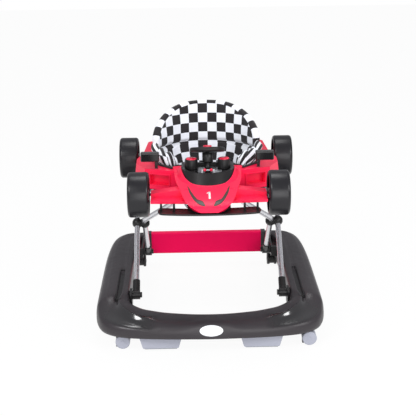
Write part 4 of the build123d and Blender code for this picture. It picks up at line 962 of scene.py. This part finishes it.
number_outline = [(-1.6, -285), (4, -285), (4, -247), (0.4, -247), (-6, -254), (-6, -259), (-1.6, -255)]
bm = bmesh.new()
bm.faces.new([bm.verts.new((x, y, 0)) for x, y in number_outline])
bmesh.ops.subdivide_edges(bm, edges=bm.edges, cuts=3)
bmesh.ops.triangulate(bm, faces=bm.faces)
for vert in bm.verts:
    vert.co = drop(vert.co.x, vert.co.y)
number = piece("nose_number", bm, "tray", number_white)
film = number.modifiers.new("film", "SOLIDIFY")
film.thickness = film_depth * mm

# %% [markdown]
# ## Red fairing round the console
# The hood swells up beside the console, so the black cowl shows as a crescent with two points. The
# swell is a strip: its upper edge lies on the cowl, its lower edge on the body, and it is hollowed
# between them. Rays cast down onto the body give the height of the lower edge.

# %% Fairing
fairing_line = [
    (75.5, -66, 450), (75.5, -92, 457), (75.5, -119, 461.5), (71, -150, 455), (62, -177, 446.5),
    (47, -197, 439), (25, -211, 435), (0, -216.5, 433.5),
]
least_spread, most_spread, foot_sink = 4, 13.5, 1.2
fairing_half = [along(fairing_line, step / 24) for step in range(25)]
fairing_top = fairing_half + [Vector((-q.x, q.y, q.z)) for q in reversed(fairing_half[:-1])]


def fairing_spot(u, v):
    """Point on the strip: u along the cowl from its left rear corner, v from the cowl out to the body."""
    step = round(u * (len(fairing_top) - 1))
    top = fairing_top[step]
    run = fairing_top[min(step + 1, len(fairing_top) - 1)] - fairing_top[max(step - 1, 0)]
    out = Vector((-run.y, run.x, 0)).normalized()
    skin_height = drop(top.x + out.x * 3, top.y + out.y * 3).z / mm
    spread = min(least_spread + 1.1 * max(0.0, top.z - skin_height), most_spread)
    foot = drop(top.x + out.x * spread, top.y + out.y * spread).z / mm - foot_sink
    sag = 0.62 * v + 0.38 * smooth_step(0, 1, v)
    spot = top + out * spread * v
    spot.z = top.z + (foot - top.z) * sag
    return spot * mm


bm = bmesh.new()
grid(bm, len(fairing_top) - 1, 8, fairing_spot)
fairing = piece("hood_fairing", bm, "tray", body_red)
shell = fairing.modifiers.new("shell", "SOLIDIFY")
shell.thickness, shell.offset = 1.2 * mm, -1
soften = fairing.modifiers.new("soften", "SUBSURF")
soften.levels = soften.render_levels = 1

# %% [markdown]
# ## Steering column
# The column is a thick hub under the wheel on a thinner stem. A profile spun round the raked axis
# gives both in one piece.

# %% Column
def spun(bm, profile, foot, axis):
    """Spin a profile of (radius, height) pairs round an axis through foot, all in millimetres."""
    out = Vector((0, 1, 0)) if abs(axis.x) > 0.5 else Vector((1, 0, 0))
    line = [bm.verts.new((foot + axis * h + out * r) * mm) for r, h in profile]
    edges = [bm.edges.new(pair) for pair in zip(line, line[1:])]
    bmesh.ops.spin(bm, geom=line + edges, cent=foot * mm, axis=axis, angle=2 * pi, steps=60, use_merge=True)
    bmesh.ops.remove_doubles(bm, verts=bm.verts, dist=0.02 * mm)


axis_lean = radians(17.0)
column_axis = Vector((0, sin(axis_lean), cos(axis_lean)))
column_foot = Vector((0, -112, 455))
stem = [(0, 0), (9.5, 0), (9.5, 2), (7.5, 4), (7.5, 15), (9, 17)]
hub = [(14, 18.5), (15, 20), (15, 44), (13.5, 46), (0, 46)]
bm = bmesh.new()
spun(bm, stem + hub, column_foot, column_axis)
piece("column_hub", bm, "tray", satin_black, ["steering_column"])

# %% [markdown]
# ## Dial knobs
# Each dial is a black cup with a red cap sunk into it. Both are spun, and the cap's outer points are
# then pulled in and out to give it ten lobes for small fingers. Left and right are those of the CAD
# bodies, as on the toy wheels.

# %% Dials
cup = [(0, 0), (18.3, 0), (18.4, 1), (18, 26), (17.3, 27.4), (16.3, 27.4), (15.8, 26), (15.8, 18), (0, 18)]
cap = [(0, 17), (14.4, 17), (14.4, 28), (13.2, 29.6), (0, 30)]
dial_x, dial_y, dial_z, lobes = 46, -104, 455.7, 10
for name, side in (("left", 1), ("right", -1)):
    dial_foot = Vector((side * dial_x, dial_y, dial_z))
    bm = bmesh.new()
    spun(bm, cup, dial_foot, Vector((0, 0, 1)))
    piece("dial_cup_" + name, bm, "knob_" + name, satin_black, ["knob_" + name])
    bm = bmesh.new()
    spun(bm, cap, dial_foot, Vector((0, 0, 1)))
    for vert in bm.verts:
        arm = Vector((vert.co.x - dial_foot.x * mm, vert.co.y - dial_foot.y * mm))
        if arm.length > 8 * mm:
            wave = 0.06 * cos(lobes * arm.angle_signed(Vector((1, 0))))
            vert.co.x += arm.x * wave
            vert.co.y += arm.y * wave
    piece("dial_cap_" + name, bm, "knob_" + name, trim_red, ["knob_cap_" + name])

# %% [markdown]
# ## Toy wheels
# The wheels are hollow tyres with round shoulders, dished on the outer side and open on the inner.
# One closed profile spun round the axle gives the whole wheel, and a small bevel keeps its edges clean.

# %% Tyres
shoulder_rise, shoulder_side, shoulder_radius, axle_height = 53.8, 20.6, 8.4, 411
shoulder = []
for degrees_round in range(0, 91, 15):
    turn = radians(degrees_round)
    out, across = shoulder_radius * sin(turn), shoulder_radius * cos(turn)
    shoulder.append((shoulder_rise + out, shoulder_side + across))
tyre = [(4.2, -29), (4.2, 17), (44, 17), (44, 29)] + shoulder + [(r, -h) for r, h in reversed(shoulder)]
tyre += [(53, -29), (53, -25), (58.2, -25), (58.2, 13), (14, 13), (14, -29), (4.2, -29)]
for end, x, y in (("front", 192, -207), ("rear", 237, 193)):
    for name, side in (("left", 1), ("right", -1)):
        spot = end + "_" + name
        bm = bmesh.new()
        spun(bm, tyre, Vector((side * x, y, axle_height)), Vector((side, 0, 0)))
        wheel = piece("toy_tyre_" + spot, bm, "toy_" + spot, wheel_black, ["toy_wheel_" + spot])
        edge = wheel.modifiers.new("edge", "BEVEL")
        edge.width, edge.segments, edge.limit_method = 0.7 * mm, 2, "ANGLE"

# %% [markdown]
# ## Front wing
# The wing is a thin bowed blade, almost square at its ends, hung from four posts. A grid bent to the
# bow and given thickness makes the blade, and tapered cones make the posts.

# %% Wing
wing_half, wing_mid_y, wing_half_depth, wing_height, wing_bow = 138, -292, 25.5, 389.5, 4.5
post_places, post_y, post_z = (94.5, 129), -286, 397


def wing_spot(u, v):
    """Blade: u from end to end, v from the front edge to the rear."""
    x = (u - 0.5) * 2
    bow = 1 - x * x
    half = wing_half_depth * sqrt(max(0.0, 1 - abs(x) ** 30)) + 0.5
    height = wing_height - wing_bow * bow + 2 * (2 * v - 1) ** 2
    return Vector((x * wing_half, wing_mid_y + (v - 0.5) * 2 * half, height)) * mm


bm = bmesh.new()
grid(bm, 60, 10, wing_spot)
bmesh.ops.solidify(bm, geom=list(bm.faces), thickness=4.5 * mm)
for x in post_places:
    for side in (-1, 1):
        place = Matrix.Translation(Vector((side * x, post_y, post_z)) * mm)
        bmesh.ops.create_cone(
            bm, cap_ends=True, segments=16, radius1=3.6 * mm, radius2=2.8 * mm, depth=22 * mm, matrix=place)
wing = piece("wing_blade", bm, "tray", satin_black, ["front_wing"])
rounding = wing.modifiers.new("rounding", "BEVEL")
rounding.width, rounding.segments, rounding.limit_method = 0.8 * mm, 2, "ANGLE"
